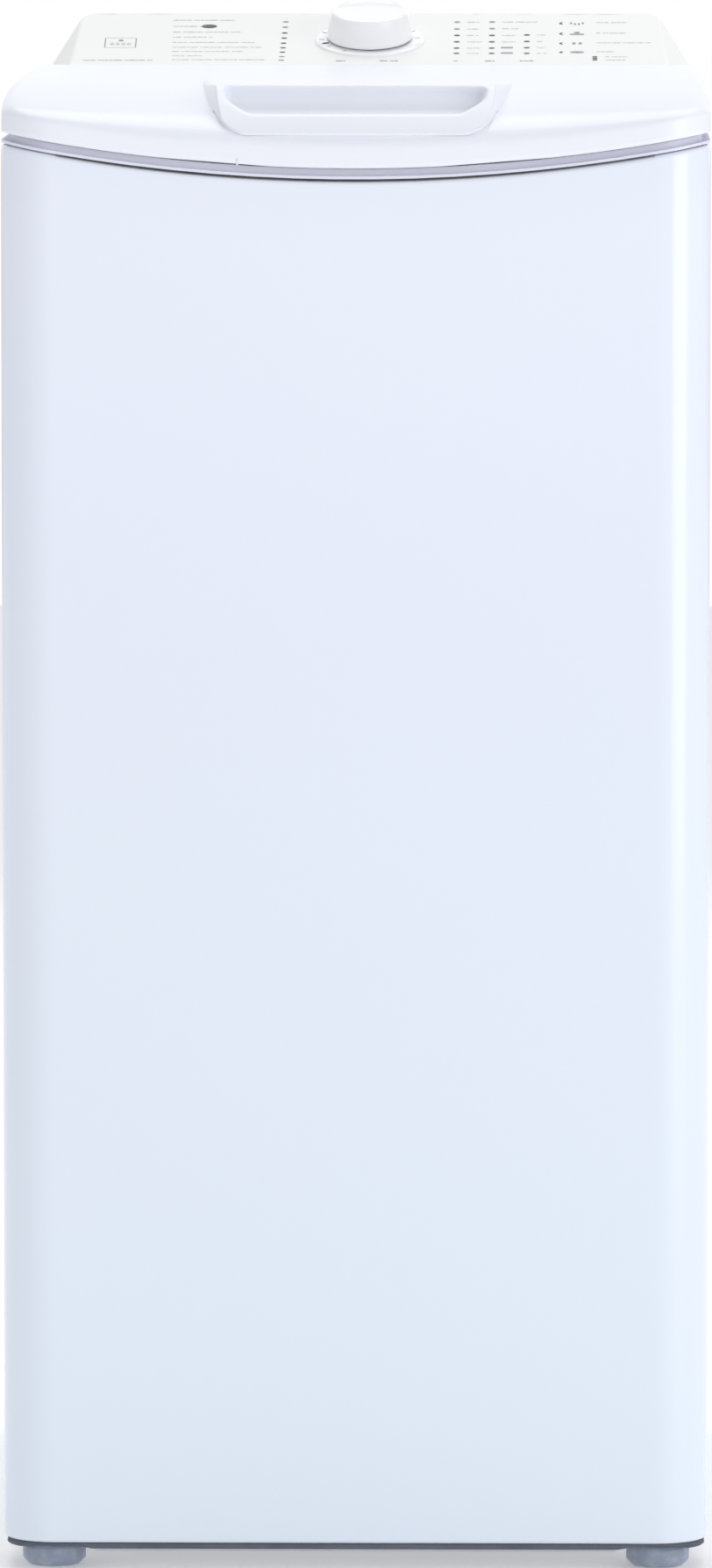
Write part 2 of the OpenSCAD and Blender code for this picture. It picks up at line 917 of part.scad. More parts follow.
module panel_screws() {
    color("silver") for (x = [-1, 1], z = [70, 240, 420, 600, 780]) translate([x * 191.5, 0, z])
        rod_y(4, back_y, back_y + 2);
}

front_panel();
side_panel_left();
side_panel_right();
back_panel();
base_tray();
top_frame();
console_shell();
console_fascia();
control_board();
knob_bezel();
hinge_brackets();
lid_lock();
fill_valve();
fill_hose();
drain_pump();
drain_outlet();
cable_gland();
transit_plugs();
damper_tubes();
spring_hangers();
panel_screws();
suspension_springs();
mouth_bellows();
lid_shell();
lid_liner();
dispenser_tray();
lid_catch();
programme_knob();
button_1();
button_2();
button_3();
button_4();
button_5();
foot_front_left();
foot_front_right();
foot_back_left();
foot_back_right();
tub_wall();
tub_end_left();
tub_end_right();
tub_neck();
counterweights();
drum_bearings();
heater();
motor_housing();
damper_rods();
drive_belt();
drum_wall();
drum_end_left();
drum_end_right();
drum_lifters();
drum_pulley();
flap_front();
flap_rear();
flap_latch();
motor_rotor();
pump_impeller();
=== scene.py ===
"""Slim top-loading washing machine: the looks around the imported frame.

Shapes are written in millimetres in the frame of the CAD model (+X right, +Y back, +Z up, floor at 0)
and turned into metres by the mesh helpers.
"""
import json
import math
from contextlib import contextmanager

import bmesh
import bpy
from mathutils import Matrix, Vector
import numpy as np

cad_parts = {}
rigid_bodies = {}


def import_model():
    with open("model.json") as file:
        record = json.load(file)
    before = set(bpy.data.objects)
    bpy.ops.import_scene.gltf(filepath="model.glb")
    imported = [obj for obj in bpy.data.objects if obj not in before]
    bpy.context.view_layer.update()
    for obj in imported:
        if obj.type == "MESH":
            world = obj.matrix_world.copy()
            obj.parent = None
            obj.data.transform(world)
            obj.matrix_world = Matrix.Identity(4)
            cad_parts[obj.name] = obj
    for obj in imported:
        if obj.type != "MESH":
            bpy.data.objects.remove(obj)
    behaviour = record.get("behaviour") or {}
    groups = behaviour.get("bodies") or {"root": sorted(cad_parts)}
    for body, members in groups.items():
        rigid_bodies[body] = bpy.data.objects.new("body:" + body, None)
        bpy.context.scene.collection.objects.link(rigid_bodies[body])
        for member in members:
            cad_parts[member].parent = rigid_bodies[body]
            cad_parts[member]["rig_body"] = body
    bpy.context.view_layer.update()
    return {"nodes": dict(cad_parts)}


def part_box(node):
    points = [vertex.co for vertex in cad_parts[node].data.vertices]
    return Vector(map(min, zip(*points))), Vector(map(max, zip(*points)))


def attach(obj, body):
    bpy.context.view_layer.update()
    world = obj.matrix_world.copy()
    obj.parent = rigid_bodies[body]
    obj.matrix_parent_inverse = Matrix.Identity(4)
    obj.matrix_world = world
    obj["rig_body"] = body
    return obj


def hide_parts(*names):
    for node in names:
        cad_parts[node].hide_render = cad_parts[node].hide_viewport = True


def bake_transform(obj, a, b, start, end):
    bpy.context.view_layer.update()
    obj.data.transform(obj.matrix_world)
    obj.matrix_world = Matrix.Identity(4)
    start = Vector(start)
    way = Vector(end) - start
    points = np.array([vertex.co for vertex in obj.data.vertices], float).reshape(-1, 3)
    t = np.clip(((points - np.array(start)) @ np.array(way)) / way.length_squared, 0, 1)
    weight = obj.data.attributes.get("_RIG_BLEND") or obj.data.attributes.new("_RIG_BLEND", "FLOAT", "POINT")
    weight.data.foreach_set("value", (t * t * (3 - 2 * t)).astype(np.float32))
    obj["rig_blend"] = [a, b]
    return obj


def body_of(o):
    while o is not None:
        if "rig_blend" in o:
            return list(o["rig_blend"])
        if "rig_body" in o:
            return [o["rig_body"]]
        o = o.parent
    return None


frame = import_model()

MM = 0.001
nodes = frame["nodes"]


def box_mm(node):
    """Lowest and highest corner of a CAD node, in millimetres."""
    low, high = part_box(node)
    return low / MM, high / MM


# ---- sizes, from the frame ----

panel_lo, panel_hi = box_mm("front_panel")
HALF_W = panel_hi.x
FRONT_Y = panel_lo.y
PANEL_BOTTOM = panel_lo.z
RETURN_Y = panel_hi.y
CORNER_R = 30.0
SEAM_R = 1010.0
PANEL_TOP = panel_hi.z - (SEAM_R - math.sqrt(SEAM_R ** 2 - HALF_W ** 2))
side_hi = box_mm("side_panel_right")[1]
BACK_Y = side_hi.y
SIDE_TOP = side_hi.z

lid_hi = box_mm("lid_shell")[1]
LID_LOW = PANEL_TOP + 7.0
LID_TOP = lid_hi.z
LID_HALF = HALF_W - 0.3
LID_FRONT = FRONT_Y + 0.3
LID_BACK = lid_hi.y
BARREL_R = 9.0
HINGE_Y = LID_BACK - BARREL_R

fascia_lo, fascia_hi = box_mm("console_fascia")
shell_lo, shell_hi = box_mm("console_shell")
CONSOLE_Y = fascia_lo.y
CONSOLE_BACK = shell_hi.y
FASCIA_HALF = 183.0
FASCIA_TAPER = 5.6
SKIRT_HALF = HALF_W - 0.7
SKIRT_LOW = shell_lo.z
SIDE_SLOPE = 0.64
TROUGH_Y = 39.4
TROUGH_R = 688.0
TROUGH_Z = fascia_hi.z + math.sqrt(TROUGH_R ** 2 - (fascia_hi.y - TROUGH_Y) ** 2)
KNOB_Y = 235.0
KNOB_R = 26.0
BUTTON_Y = 168.0
BUTTON_XS = (-16, 12, 53, 74, 95)
TUB_Y, TUB_Z = -35.0, 400.0
DRUM_R = 219.0

CAMERA_AT = (0.110, -6.8, 1.04)
CAMERA_AIM = (0.0007, -0.3, 0.44936)
CAMERA_LENS = 266.11


def seam(x, low=LID_LOW):
    """Height of the curved seam at x, for the seam that passes low at the middle."""
    return low + SEAM_R - math.sqrt(SEAM_R ** 2 - x * x)


def clamp(t):
    return min(1.0, max(0.0, t))


def smooth(t):
    t = clamp(t)
    return t * t * (3 - 2 * t)


def move(x, y, z):
    return Matrix.Translation((x, y, z))


def turn(angle, axis):
    return Matrix.Rotation(angle, 4, axis)


def mix(a, b, t):
    return [p + (q - p) * t for p, q in zip(a, b)]


# ---- camera and light ----

def aim(obj, target):
    direction = Vector(target) - obj.location
    obj.rotation_euler = direction.to_track_quat("-Z", "Y").to_euler()


def new_object(name, data):
    obj = bpy.data.objects.new(name, data)
    bpy.context.scene.collection.objects.link(obj)
    return obj


def add_camera():
    data = bpy.data.cameras.new("camera")
    data.sensor_fit = "VERTICAL"
    data.sensor_height = 36.0
    data.lens = CAMERA_LENS
    data.clip_end = 60.0
    cam = new_object("camera", data)
    cam.location = CAMERA_AT
    aim(cam, CAMERA_AIM)
    bpy.context.scene.camera = cam


def area_light(name, place, target, size, power, tint=(1, 1, 1)):
    data = bpy.data.lights.new(name, "AREA")
    data.shape = "RECTANGLE"
    data.size, data.size_y = size
    data.energy = power
    data.color = tint
    light = new_object(name, data)
    light.location = place
    aim(light, target)
    return light


def background(tree, color, strength):
    made = tree.nodes.new("ShaderNodeBackground")
    made.inputs["Color"].default_value = (*color, 1)
    made.inputs["Strength"].default_value = strength
    return made.outputs[0]


def add_studio():
    """A white surround for the camera, a softer one for every other ray, and large weak area lights."""
    scene = bpy.context.scene
    scene.view_settings.view_transform = "Standard"
    scene.view_settings.look = "None"
    world = bpy.data.worlds.new("studio")
    scene.world = world
    world.use_nodes = True
    tree = world.node_tree
    tree.nodes.clear()
    out = tree.nodes.new("ShaderNodeOutputWorld")
    path = tree.nodes.new("ShaderNodeLightPath")
    mixer = tree.nodes.new("ShaderNodeMixShader")
    tree.links.new(path.outputs["Is Camera Ray"], mixer.inputs["Fac"])
    tree.links.new(background(tree, (0.95, 0.97, 1.0), 0.68), mixer.inputs[1])
    tree.links.new(background(tree, (1, 1, 1), 1.0), mixer.inputs[2])
    tree.links.new(mixer.outputs[0], out.inputs["Surface"])

    mid = (0, 0, 0.45)
    area_light("key_top", (0.1, 0.9, 3.4), (0, 0, 0.6), (2.6, 2.2), 30)
    backdrop = area_light("backdrop", (0, 3.2, 1.9), (0, 0, 0.8), (5.0, 2.4), 15)
    backdrop.visible_camera = False
    area_light("front_soft", (0.2, -5.4, 1.5), mid, (3.6, 2.4), 10)
    area_light("box_left", (-2.1, -4.2, 1.1), mid, (2.2, 3.0), 1, (0.97, 0.98, 1.0))
    area_light("box_right", (3.0, -2.6, 1.2), mid, (2.2, 2.6), 34, (0.97, 0.98, 1.0))

    bpy.ops.mesh.primitive_plane_add(size=14.0, location=(0, 0, -0.0004))
    floor = bpy.context.object
    floor.name = "floor"
    floor.data.materials.append(plain_floor())


# ---- materials ----

class Shader:
    """A principled material whose variation is built from object-space procedural nodes."""

    def __init__(self, name, color, rough, metallic=0.0, coat=0.0, coat_rough=0.05, specular=0.5):
        self.mat = bpy.data.materials.new(name)
        self.mat.use_nodes = True
        self.tree = self.mat.node_tree
        self.bsdf = self.tree.nodes["Principled BSDF"]
        self.color = (*color, 1)
        sockets = self.bsdf.inputs
        sockets["Base Color"].default_value = self.color
        sockets["Roughness"].default_value = rough
        sockets["Metallic"].default_value = metallic
        sockets["Coat Weight"].default_value = coat
        sockets["Coat Roughness"].default_value = coat_rough
        sockets["Specular IOR Level"].default_value = specular
        self.coords = self.node("ShaderNodeTexCoord").outputs["Object"]

    def node(self, kind, inputs=(), **settings):
        """A new node; inputs gives each named or numbered input a value or a socket to link from."""
        made = self.tree.nodes.new(kind)
        for key, value in settings.items():
            setattr(made, key, value)
        for key, value in dict(inputs).items():
            if isinstance(value, bpy.types.NodeSocket):
                self.link(value, made.inputs[key])
            else:
                made.inputs[key].default_value = value
        return made

    def link(self, a, b):
        self.tree.links.new(a, b)

    def stretched(self, stretch):
        return self.node("ShaderNodeMapping", {"Vector": self.coords, "Scale": stretch}).outputs[0]

    def noise(self, scale, detail=3.0, stretch=(1, 1, 1)):
        inputs = {"Vector": self.stretched(stretch), "Scale": scale, "Detail": detail}
        return self.node("ShaderNodeTexNoise", inputs).outputs["Fac"]

    def cells(self, scale, stretch=(1, 1, 1)):
        return self.node("ShaderNodeTexVoronoi", {"Vector": self.stretched(stretch), "Scale": scale})

    def ramp(self, source, low, high, start=0.0, end=1.0):
        inputs = {"Value": source, "From Min": start, "From Max": end, "To Min": low, "To Max": high}
        return self.node("ShaderNodeMapRange", inputs).outputs["Result"]

    def tint(self, source, other, start=0.35, end=0.65, weight=1.0):
        """Blends the base colour towards another where the source is high."""
        fac = self.ramp(source, 0.0, weight, start, end)
        before = self.bsdf.inputs["Base Color"]
        first = before.links[0].from_socket if before.is_linked else self.color
        made = self.node("ShaderNodeMix", data_type="RGBA", inputs={0: fac, 6: first, 7: (*other, 1)})
        self.link(made.outputs[2], before)

    def vary_rough(self, source, low, high, start=0.35, end=0.65):
        self.link(self.ramp(source, low, high, start, end), self.bsdf.inputs["Roughness"])

    def bump(self, source, strength, distance):
        made = self.node("ShaderNodeBump", {"Height": source, "Strength": strength, "Distance": distance})
        before = self.bsdf.inputs["Normal"]
        if before.is_linked:
            self.link(before.links[0].from_socket, made.inputs["Normal"])
        self.link(made.outputs[0], before)


def enamel():
    """Stoved white enamel on sheet steel: orange peel, a faint drift of tone, painted shade that greys it
    towards the floor, scuffs near the floor.
    """
    s = Shader("enamel", (0.84, 0.872, 0.958), 0.24, coat=0.5, coat_rough=0.08)
    height = s.node("ShaderNodeSeparateXYZ", {0: s.coords}).outputs["Z"]
    # Painted shade: the colour turns greyer and bluer from 0.75 m down to the floor.
    s.tint(height, (0.735, 0.81, 0.89), 0.75, 0.05, 0.9)
    s.tint(s.noise(1.6, 1), (0.80, 0.845, 0.945), 0.3, 0.75, 0.35)
    s.vary_rough(s.noise(7, 2), 0.21, 0.27)
    s.bump(s.noise(620, 2), 0.05, 0.0002)
    near_floor = s.ramp(height, 1.0, 0.0, 0.02, 0.10)
    specks = s.ramp(s.noise(260, 1, (1, 1, 0.5)), 0.0, 1.0, 0.80, 0.84)
    both = s.node("ShaderNodeMath", {0: near_floor, 1: specks}, operation="MULTIPLY")
    s.tint(both.outputs[0], (0.52, 0.56, 0.63), 0.0, 1.0, 0.5)
    return s.mat


def lid_plastic():
    """Satin white moulded plastic with a faint flow of tone and a very fine texture."""
    s = Shader("lid_plastic", (0.89, 0.905, 0.96), 0.36, coat=0.25, coat_rough=0.16)
    s.tint(s.noise(3, 1), (0.87, 0.89, 0.95), 0.3, 0.7, 0.4)
    s.vary_rough(s.noise(12, 2), 0.33, 0.39)
    s.bump(s.noise(500, 1), 0.012, 0.0001)
    return s.mat


def rim_plastic_painted_shade():
    # Darker and bluer than the lid's white plastic: this colour is painted shade of the recessed rim under
    # the lid.
    s = Shader("rim_plastic_painted_shade", (0.79, 0.79, 0.89), 0.34)
    s.tint(s.noise(4, 1), (0.77, 0.77, 0.875), 0.3, 0.7, 0.6)
    s.vary_rough(s.noise(18, 1), 0.32, 0.37)
    s.bump(s.noise(900, 1), 0.03, 0.0001)
    return s.mat


def console_plastic():
    """Warm white satin plastic with a fine spark-eroded grain."""
    s = Shader("console_plastic", (0.91, 0.905, 0.885), 0.5, specular=0.3)
    s.tint(s.noise(6, 2), (0.89, 0.885, 0.865), 0.3, 0.7, 0.7)
    s.vary_rough(s.noise(25, 4), 0.46, 0.56)
    s.bump(s.noise(1500, 3), 0.15, 0.0002)
    return s.mat


def knob_plastic():
    s = Shader("knob_plastic", (0.975, 0.978, 0.988), 0.16, coat=0.5, coat_rough=0.04)
    s.tint(s.noise(20, 2), (0.93, 0.935, 0.96), 0.35, 0.7, 0.6)
    s.vary_rough(s.noise(60, 3), 0.10, 0.2)
    s.bump(s.noise(90, 2), 0.05, 0.0003)
    return s.mat


def foot_plastic():
    """Blue-grey moulded plastic with dust and uneven gloss."""
    s = Shader("foot_plastic", (0.31, 0.36, 0.46), 0.38, coat=0.3, coat_rough=0.3)
    s.tint(s.noise(160, 5), (0.44, 0.49, 0.57), 0.45, 0.7, 0.8)
    s.vary_rough(s.noise(240, 4), 0.36, 0.5)
    s.bump(s.noise(900, 4), 0.2, 0.0004)
    return s.mat


def moulded(name, color, other, rough=0.5, grain=900, bump=0.15):
    """Moulded or painted surface with a drift of tone, uneven gloss and a fine grain."""
    s = Shader(name, color, rough)
    s.tint(s.noise(35, 4), other, 0.35, 0.7, 0.8)
    s.vary_rough(s.noise(80, 4), rough * 0.85, min(1.0, rough * 1.2))
    s.bump(s.noise(grain, 3), bump, 0.0003)
    return s.mat


def zinc_sheet():
    """Galvanised sheet: spangle in tone and gloss."""
    s = Shader("zinc_sheet", (0.60, 0.62, 0.64), 0.4, metallic=0.85)
    spangle = s.cells(150, (1, 1, 1.3))
    s.tint(spangle.outputs["Color"], (0.67, 0.69, 0.71), 0.2, 0.8, 0.8)
    s.vary_rough(s.noise(40, 4), 0.32, 0.52)
    s.bump(s.noise(260, 3), 0.08, 0.0002)
    return s.mat


def brushed(name, color, rough, stretch, scale=60, bump=0.08):
    """Bare metal: fine variation of tone and gloss, drawn out into lines where stretch is uneven."""
    s = Shader(name, color, rough, metallic=1.0)
    lines = s.noise(scale, 6, stretch)
    s.tint(lines, tuple(c * 0.86 for c in color), 0.35, 0.7, 0.7)
    s.vary_rough(lines, rough * 0.8, rough * 1.25)
    s.bump(lines, bump, 0.0002)
    return s.mat


def concrete_paint():
    s = Shader("weight_paint", (0.30, 0.31, 0.32), 0.8)
    s.tint(s.noise(120, 6), (0.42, 0.43, 0.43), 0.4, 0.7, 1.0)
    s.bump(s.noise(180, 6), 0.6, 0.0012)
    return s.mat


def ink(name, color):
    """Screen printed ink, slightly uneven."""
    s = Shader(name, color, 0.55)
    s.tint(s.noise(900, 3), tuple(min(1, c * 1.35 + 0.05) for c in color), 0.45, 0.75, 0.7)
    s.bump(s.noise(2500, 2), 0.1, 0.0001)
    return s.mat


def plain_floor():
    s = Shader("floor", (0.95, 0.95, 0.955), 0.6)
    s.bsdf.inputs["Emission Color"].default_value = (1, 1, 1, 1)
    s.bsdf.inputs["Emission Strength"].default_value = 0.2
    s.tint(s.noise(3, 3), (0.93, 0.93, 0.94), 0.3, 0.7, 0.6)
    s.vary_rough(s.noise(20, 3), 0.5, 0.7)
    return s.mat


# ---- mesh helpers ----

@contextmanager
def editing(data):
    """Opens a mesh for editing and writes it back."""
    work = bmesh.new()
    work.from_mesh(data)
    yield work
    work.to_mesh(data)
    work.free()


def piece(name, verts, faces, finish, body, replaces=(), slot=None, flat=False, merge=0.004):
    """A mesh piece in millimetres. It may stand for CAD nodes, and with no body it is left free to bend.

    Its finish gives its material. The slot argument is not used.
    """
    data = bpy.data.meshes.new(name)
    data.from_pydata([Vector(v) * MM for v in verts], [], faces)
    with editing(data) as work:
        bmesh.ops.remove_doubles(work, verts=work.verts, dist=merge * MM)
        bmesh.ops.dissolve_degenerate(work, edges=work.edges, dist=merge * MM * 0.5)
        bmesh.ops.recalc_face_normals(work, faces=work.faces)
    obj = new_object(name, data)
    data.materials.append(MAT[finish])
    for polygon in data.polygons:
        polygon.use_smooth = not flat
    if body:
        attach(obj, body)
    if replaces:
        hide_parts(*replaces)
    return obj


def grid_faces(rows, columns, close_rows=False, close_columns=False):
    """Quads of a grid whose vertices are stored row by row."""
    faces = []
    for i in range(rows if close_rows else rows - 1):
        for j in range(columns if close_columns else columns - 1):
            a, b = i * columns + j, i * columns + (j + 1) % columns
            c, d = ((i + 1) % rows) * columns + (j + 1) % columns, ((i + 1) % rows) * columns + j
            faces.append((a, b, c, d))
    return faces


def grid_piece(name, rows, finish, body, close_rows=False, close_columns=False, **options):
    verts = [p for row in rows for p in row]
    faces = grid_faces(len(rows), len(rows[0]), close_rows, close_columns)
    return piece(name, verts, faces, finish, body, **options)


def sharp_by_angle(obj, degrees=32):
    """Splits shading at edges sharper than the angle, so flats stay flat and rounds stay smooth."""
    made = obj.modifiers.new("crease", "EDGE_SPLIT")
    made.split_angle = math.radians(degrees)
    made.use_edge_sharp = False


def thicken(obj, thickness, offset=-1.0, even=True):
    made = obj.modifiers.new("wall", "SOLIDIFY")
    made.thickness = thickness * MM
    made.offset = offset
    made.use_even_offset = even


def soften(obj, width, segments=2, degrees=35):
    made = obj.modifiers.new("edges", "BEVEL")
    made.width = width * MM
    made.segments = segments
    made.limit_method = "ANGLE"
    made.angle_limit = math.radians(degrees)
    made.harden_normals = False


def lathe(profile, steps):
    """Rows of points of an r-z outline turned round the local Z axis."""
    return [[(r * math.cos(2 * math.pi * k / steps), r * math.sin(2 * math.pi * k / steps), z)
             for k in range(steps)] for r, z in profile]


def turned_piece(name, profile, steps, place, finish, body, **options):
    """An r-z outline turned round the local Z axis of a place."""
    rows = [[tuple(place @ Vector(p)) for p in row] for row in lathe(profile, steps)]
    return grid_piece(name, rows, finish, body, close_columns=True, **options)


def arc(cx, cy, r, start, end, steps, first=0):
    """Points on a circle from one angle to another, in equal steps."""
    angles = (start + (end - start) * k / steps for k in range(first, steps + 1))
    return [(cx + r * math.cos(a), cy + r * math.sin(a)) for a in angles]


# ---- the cabinet's plan ----

def plan_path(inset):
    """Points (x, y) round the front of the cabinet, from the right return to the left one."""
    arc_steps, side_steps, front_steps = 20, 4, 80
    x, r = HALF_W - inset, CORNER_R - inset
    front = FRONT_Y + inset
    cx, cy = HALF_W - CORNER_R, FRONT_Y + CORNER_R
    path = [(x, RETURN_Y + (cy - RETURN_Y) * k / side_steps) for k in range(side_steps)]
    path += arc(cx, cy, r, 0, -math.pi / 2, arc_steps)
    path += [(cx - 2 * cx * k / front_steps, front) for k in range(1, front_steps)]
    path += arc(-cx, cy, r, -math.pi / 2, -math.pi, arc_steps)
    path += [(-x, cy + (RETURN_Y - cy) * k / side_steps) for k in range(1, side_steps + 1)]
    return path


def add_front_panel():
    """Sheet wrapped round the front corners, with rolled-in edges at its top and bottom."""
    roll = 3.2
    rolls = [(0.0, roll), (0.25, 1.9), (0.9, 0.8), (1.9, 0.2), (3.0, 0.0), (9.0, 0.0)]
    rows = []
    for inset, rise in reversed(rolls):
        rows.append([(x, y, PANEL_BOTTOM + rise) for x, y in plan_path(inset)])
    levels = 24
    for k in range(1, levels):
        t = k / levels
        rows.append([(x, y, (PANEL_BOTTOM + roll) * (1 - t) + (seam(x, PANEL_TOP) - roll) * t)
                     for x, y in plan_path(0)])
    for inset, rise in rolls:
        rows.append([(x, y, seam(x, PANEL_TOP) - rise) for x, y in plan_path(inset)])
    grid_piece("front_panel_skin", rows, "enamel", "cabinet", replaces=("front_panel",))


def add_base_gap_shadow():
    """Dark strip in the gap under the front panel's lower edge, painted shadow of that gap."""
    def drop(x):
        at_foot = smooth((abs(x) - 150) / 8) * smooth((190 - abs(x)) / 8)
        return 3.4 - 2.2 * at_foot

    rows = []
    for inset, share in ((8, 0), (2.2, 0), (1.6, 0.8), (2.4, 1), (8, 1)):
        rows.append([(x, y, PANEL_BOTTOM - drop(x) * share) for x, y in plan_path(inset)])
    grid_piece("base_gap_painted_shadow", rows, "seal", "cabinet")


def add_side_panels():
    """Flat sheets with rolled edges."""
    edge = [(0.0, 2.4), (0.2, 1.4), (0.8, 0.5), (1.7, 0.05), (2.6, 0.0)]
    y0, y1, z0, z1 = RETURN_Y + 0.9, BACK_Y, PANEL_BOTTOM, SIDE_TOP
    span = 10
    for side, node in ((1, "side_panel_right"), (-1, "side_panel_left")):
        verts = []
        for inset, rise in reversed(edge):
            x, ya, yb, za, zb = HALF_W - inset, y0 + rise, y1 - rise, z0 + rise, z1 - rise
            ring = [(ya + (yb - ya) * k / span, za) for k in range(span)]
            ring += [(yb, za + (zb - za) * k / span) for k in range(span)]
            ring += [(yb + (ya - yb) * k / span, zb) for k in range(span)]
            ring += [(ya, zb + (za - zb) * k / span) for k in range(span)]
            verts += [(side * x, y, z) for y, z in ring]
        faces = grid_faces(len(edge), 4 * span, close_columns=True)
        last = (len(edge) - 1) * 4 * span
        faces.append(tuple(last + k for k in range(4 * span)))
        skin = piece(f"{node}_skin", verts, faces, "enamel", "cabinet", replaces=(node,))
        sharp_by_angle(skin, 40)
        thicken(skin, 0.9)


# ---- lid ----

HOOD_HALF = 80.0
HOOD_FLARE = 8.5
HOOD_LEAN = 6.5
FLARE_DEPTH = 48.0
LIP_LOW = 815.0
LIP_HIGH = 825.6
ROLL = 200.0
FACE = 10.0
ROLL_SHARE = 0.62
BROW = 3.2
GRIP_FLOOR = 825.8
GRIP_BACK = -270.6


def front_at(x):
    """Where the lid's plan outline meets the front at x."""
    over = abs(x) - (LID_HALF - CORNER_R)
    if over <= 0:
        return LID_FRONT
    return LID_FRONT + CORNER_R - math.sqrt(max(0.0, CORNER_R ** 2 - over ** 2))


def base_point(x, angle, drop):
    """Point (y, z) on the lid's rolled front at an angle of 0 to 90 degrees up the roll."""
    y_roll = LID_FRONT + ROLL
    z0 = seam(x) + FACE
    a = y_roll - front_at(x)
    return y_roll - a * max(0.0, math.cos(angle)) ** 0.75, z0 + (LID_TOP - drop - z0) * math.sin(angle)


def base_angle(x, z, drop):
    z0 = seam(x) + FACE
    return math.asin(clamp((z - z0) / (LID_TOP - drop - z0)))


def hood_low(x):
    """Lower edge of the hood at x, with rounded corners."""
    r = 13.0
    over = abs(x) - (HOOD_HALF - r)
    if over <= 0:
        return LIP_LOW
    return LIP_LOW + r - math.sqrt(max(0.0, r * r - min(over, r) ** 2))


def hood_face(z):
    """Depth y of the hood's rim at height z: an upright bulge that leans back to the top."""
    t = clamp((z - LIP_LOW) / (LID_TOP - LIP_LOW))
    return -298.0 + 27.0 * t ** 1.25


def lid_profile(x, drop):
    """Outline (y, z) of the lid at x as three matching lists: plain, hood rim and finger grip."""
    low = hood_low(x)
    start = base_angle(x, low - 1.2, drop)
    end = math.pi / 2
    face_steps, roll_steps, back_steps = 4, 7, 10
    z_seam, z0 = seam(x), seam(x) + FACE
    shared = [(front_at(x), z_seam + (z0 - z_seam) * k / face_steps) for k in range(face_steps)]
    shared += [base_point(x, start * k / (roll_steps - 1), drop) for k in range(roll_steps)]
    plain, rim, grip = list(shared), list(shared), list(shared)
    lip = [(hood_face(low) + 1.6, low - 0.9), (hood_face(low) + 0.5, low - 0.55), (hood_face(low), low + 0.5),
           (hood_face(low + 1.8), low + 1.8)]
    high = max(LIP_HIGH, low + 6)
    bulge = [low + 1.8 + (high - low - 1.8) * k / 6 for k in range(1, 7)]
    lip += [(hood_face(z), z) for z in bulge]
    brow_z = LID_TOP - BROW
    floor = [(-285.6, 825.9), (-282.0, 826.2), (-278.4, 826.7), (-275.2, 827.5), (-272.8, 828.6),
             (-270.8, 830.2), (-269.0, 832.2), (-267.2, 834.4), (-266.4, 835.6), (-266.5, 836.4)]
    plate = [(-267.4, 837.8), (-270.2, 839.7), (-271.6, 840.6), (-271.9, 841.1), (-271.6, 841.4),
             (GRIP_BACK, LID_TOP)]
    levels = [high + (brow_z - high) * (k + 1) / len(floor) for k in range(len(floor))]
    rim += lip + [(hood_face(z), z) for z in levels]
    rim += [(hood_face(brow_z + d) + e, brow_z + d)
            for d, e in ((0.5, 0), (1.1, 0.1), (1.8, 0.3), (2.5, 0.9), (3.0, 2.0), (BROW, 4.0))]
    grip += lip + floor + plate
    count = len(lip + floor + plate)
    plain += [base_point(x, start + (end - start) * (ROLL_SHARE * k / count), drop)
              for k in range(1, count + 1)]
    for k in range(1, back_steps + 1):
        t = k / back_steps
        plain.append(base_point(x, start + (end - start) * (ROLL_SHARE + (1 - ROLL_SHARE) * t), drop))
        point = (GRIP_BACK + (LID_FRONT + ROLL - GRIP_BACK) * t, LID_TOP - drop)
        rim.append(point)
        grip.append(point)
    rear = [(y, LID_TOP - drop) for y in (-60, 0, 60, 100, 120)]
    for k in range(9):
        a = math.radians(100 * k / 8)
        rear.append((HINGE_Y + BARREL_R * math.sin(a), LID_TOP - BARREL_R + (BARREL_R - drop) * math.cos(a)))
    rear += [(LID_BACK - 1.5, 826.0), (LID_BACK - 1.5, 818.0)]
    return plain + rear, rim + rear, grip + rear


def grip_weight(x, z):
    """How far the finger grip is sunk at x: full inside, none on the rim, with rounded lower corners."""
    u = clamp((z - GRIP_FLOOR) / 9.0)
    reach = 57.0 + 13.5 * math.sqrt(1 - (1 - u) ** 2)
    return 1 - smooth((abs(x) - reach) / 4.5)


def lid_column(x, hood, drop=0.0):
    """One column of the lid's surface; hood blends from the plain roll (0) to the raised hood (1)."""
    plain, rim, inner = lid_profile(x, drop)
    points = []
    for p, q, r in zip(plain, rim, inner):
        grip = grip_weight(x, max(r[1], GRIP_FLOOR)) if r != q else 0.0
        y, z = mix(p, mix(q, r, grip), hood)
        shift = 0.0
        if 40 < abs(x) < 118:
            near = smooth((abs(x) - 40) / 36) * smooth((118 - abs(x)) / 32)
            rim_y, rim_z = mix(p, q, hood)
            behind = max(0.0, rim_y - hood_face(rim_z))
            lean = -HOOD_LEAN * clamp((LID_TOP - rim_z) / (LID_TOP - LIP_LOW)) ** 1.6
            flare = HOOD_FLARE * (1 - math.exp(-behind / FLARE_DEPTH))
            shift = (flare + lean) * near
        points.append((x + shift, y, z))
    return points


def lid_columns():
    """x, hood weight and shoulder drop of each column from the middle to the right edge."""
    shoulder = 8.0
    inner = [0, 12, 24, 36, 44, 50, 54, 56.5, 58, 59.5, 61, 62.5, 64, 65.5, 67, 68.2, 69.4]
    inner += [70.4, 71.4, 72.4, 73.4, 74.4, 75.4, 76.6, 77.8, 78.8]
    outer = [82.2, 84, 88, 94, 102, 112, 124, 138, 148.4, 153, 157.6, 164, 172, 178, 184, 188]
    columns = [(x, 1.0, 0.0) for x in inner]
    for t in (0.03, 0.09, 0.2, 0.38, 0.6, 0.8, 0.93, 1.0):
        columns.append((78.8 + 2.4 * t, 1 - t, 0.0))
    columns += [(x, 0.0, 0.0) for x in (*outer, LID_HALF - shoulder)]
    for k in range(1, 11):
        a = math.radians(9 * k)
        columns.append((LID_HALF - shoulder + shoulder * math.sin(a), 0.0, shoulder * (1 - math.cos(a))))
    return columns


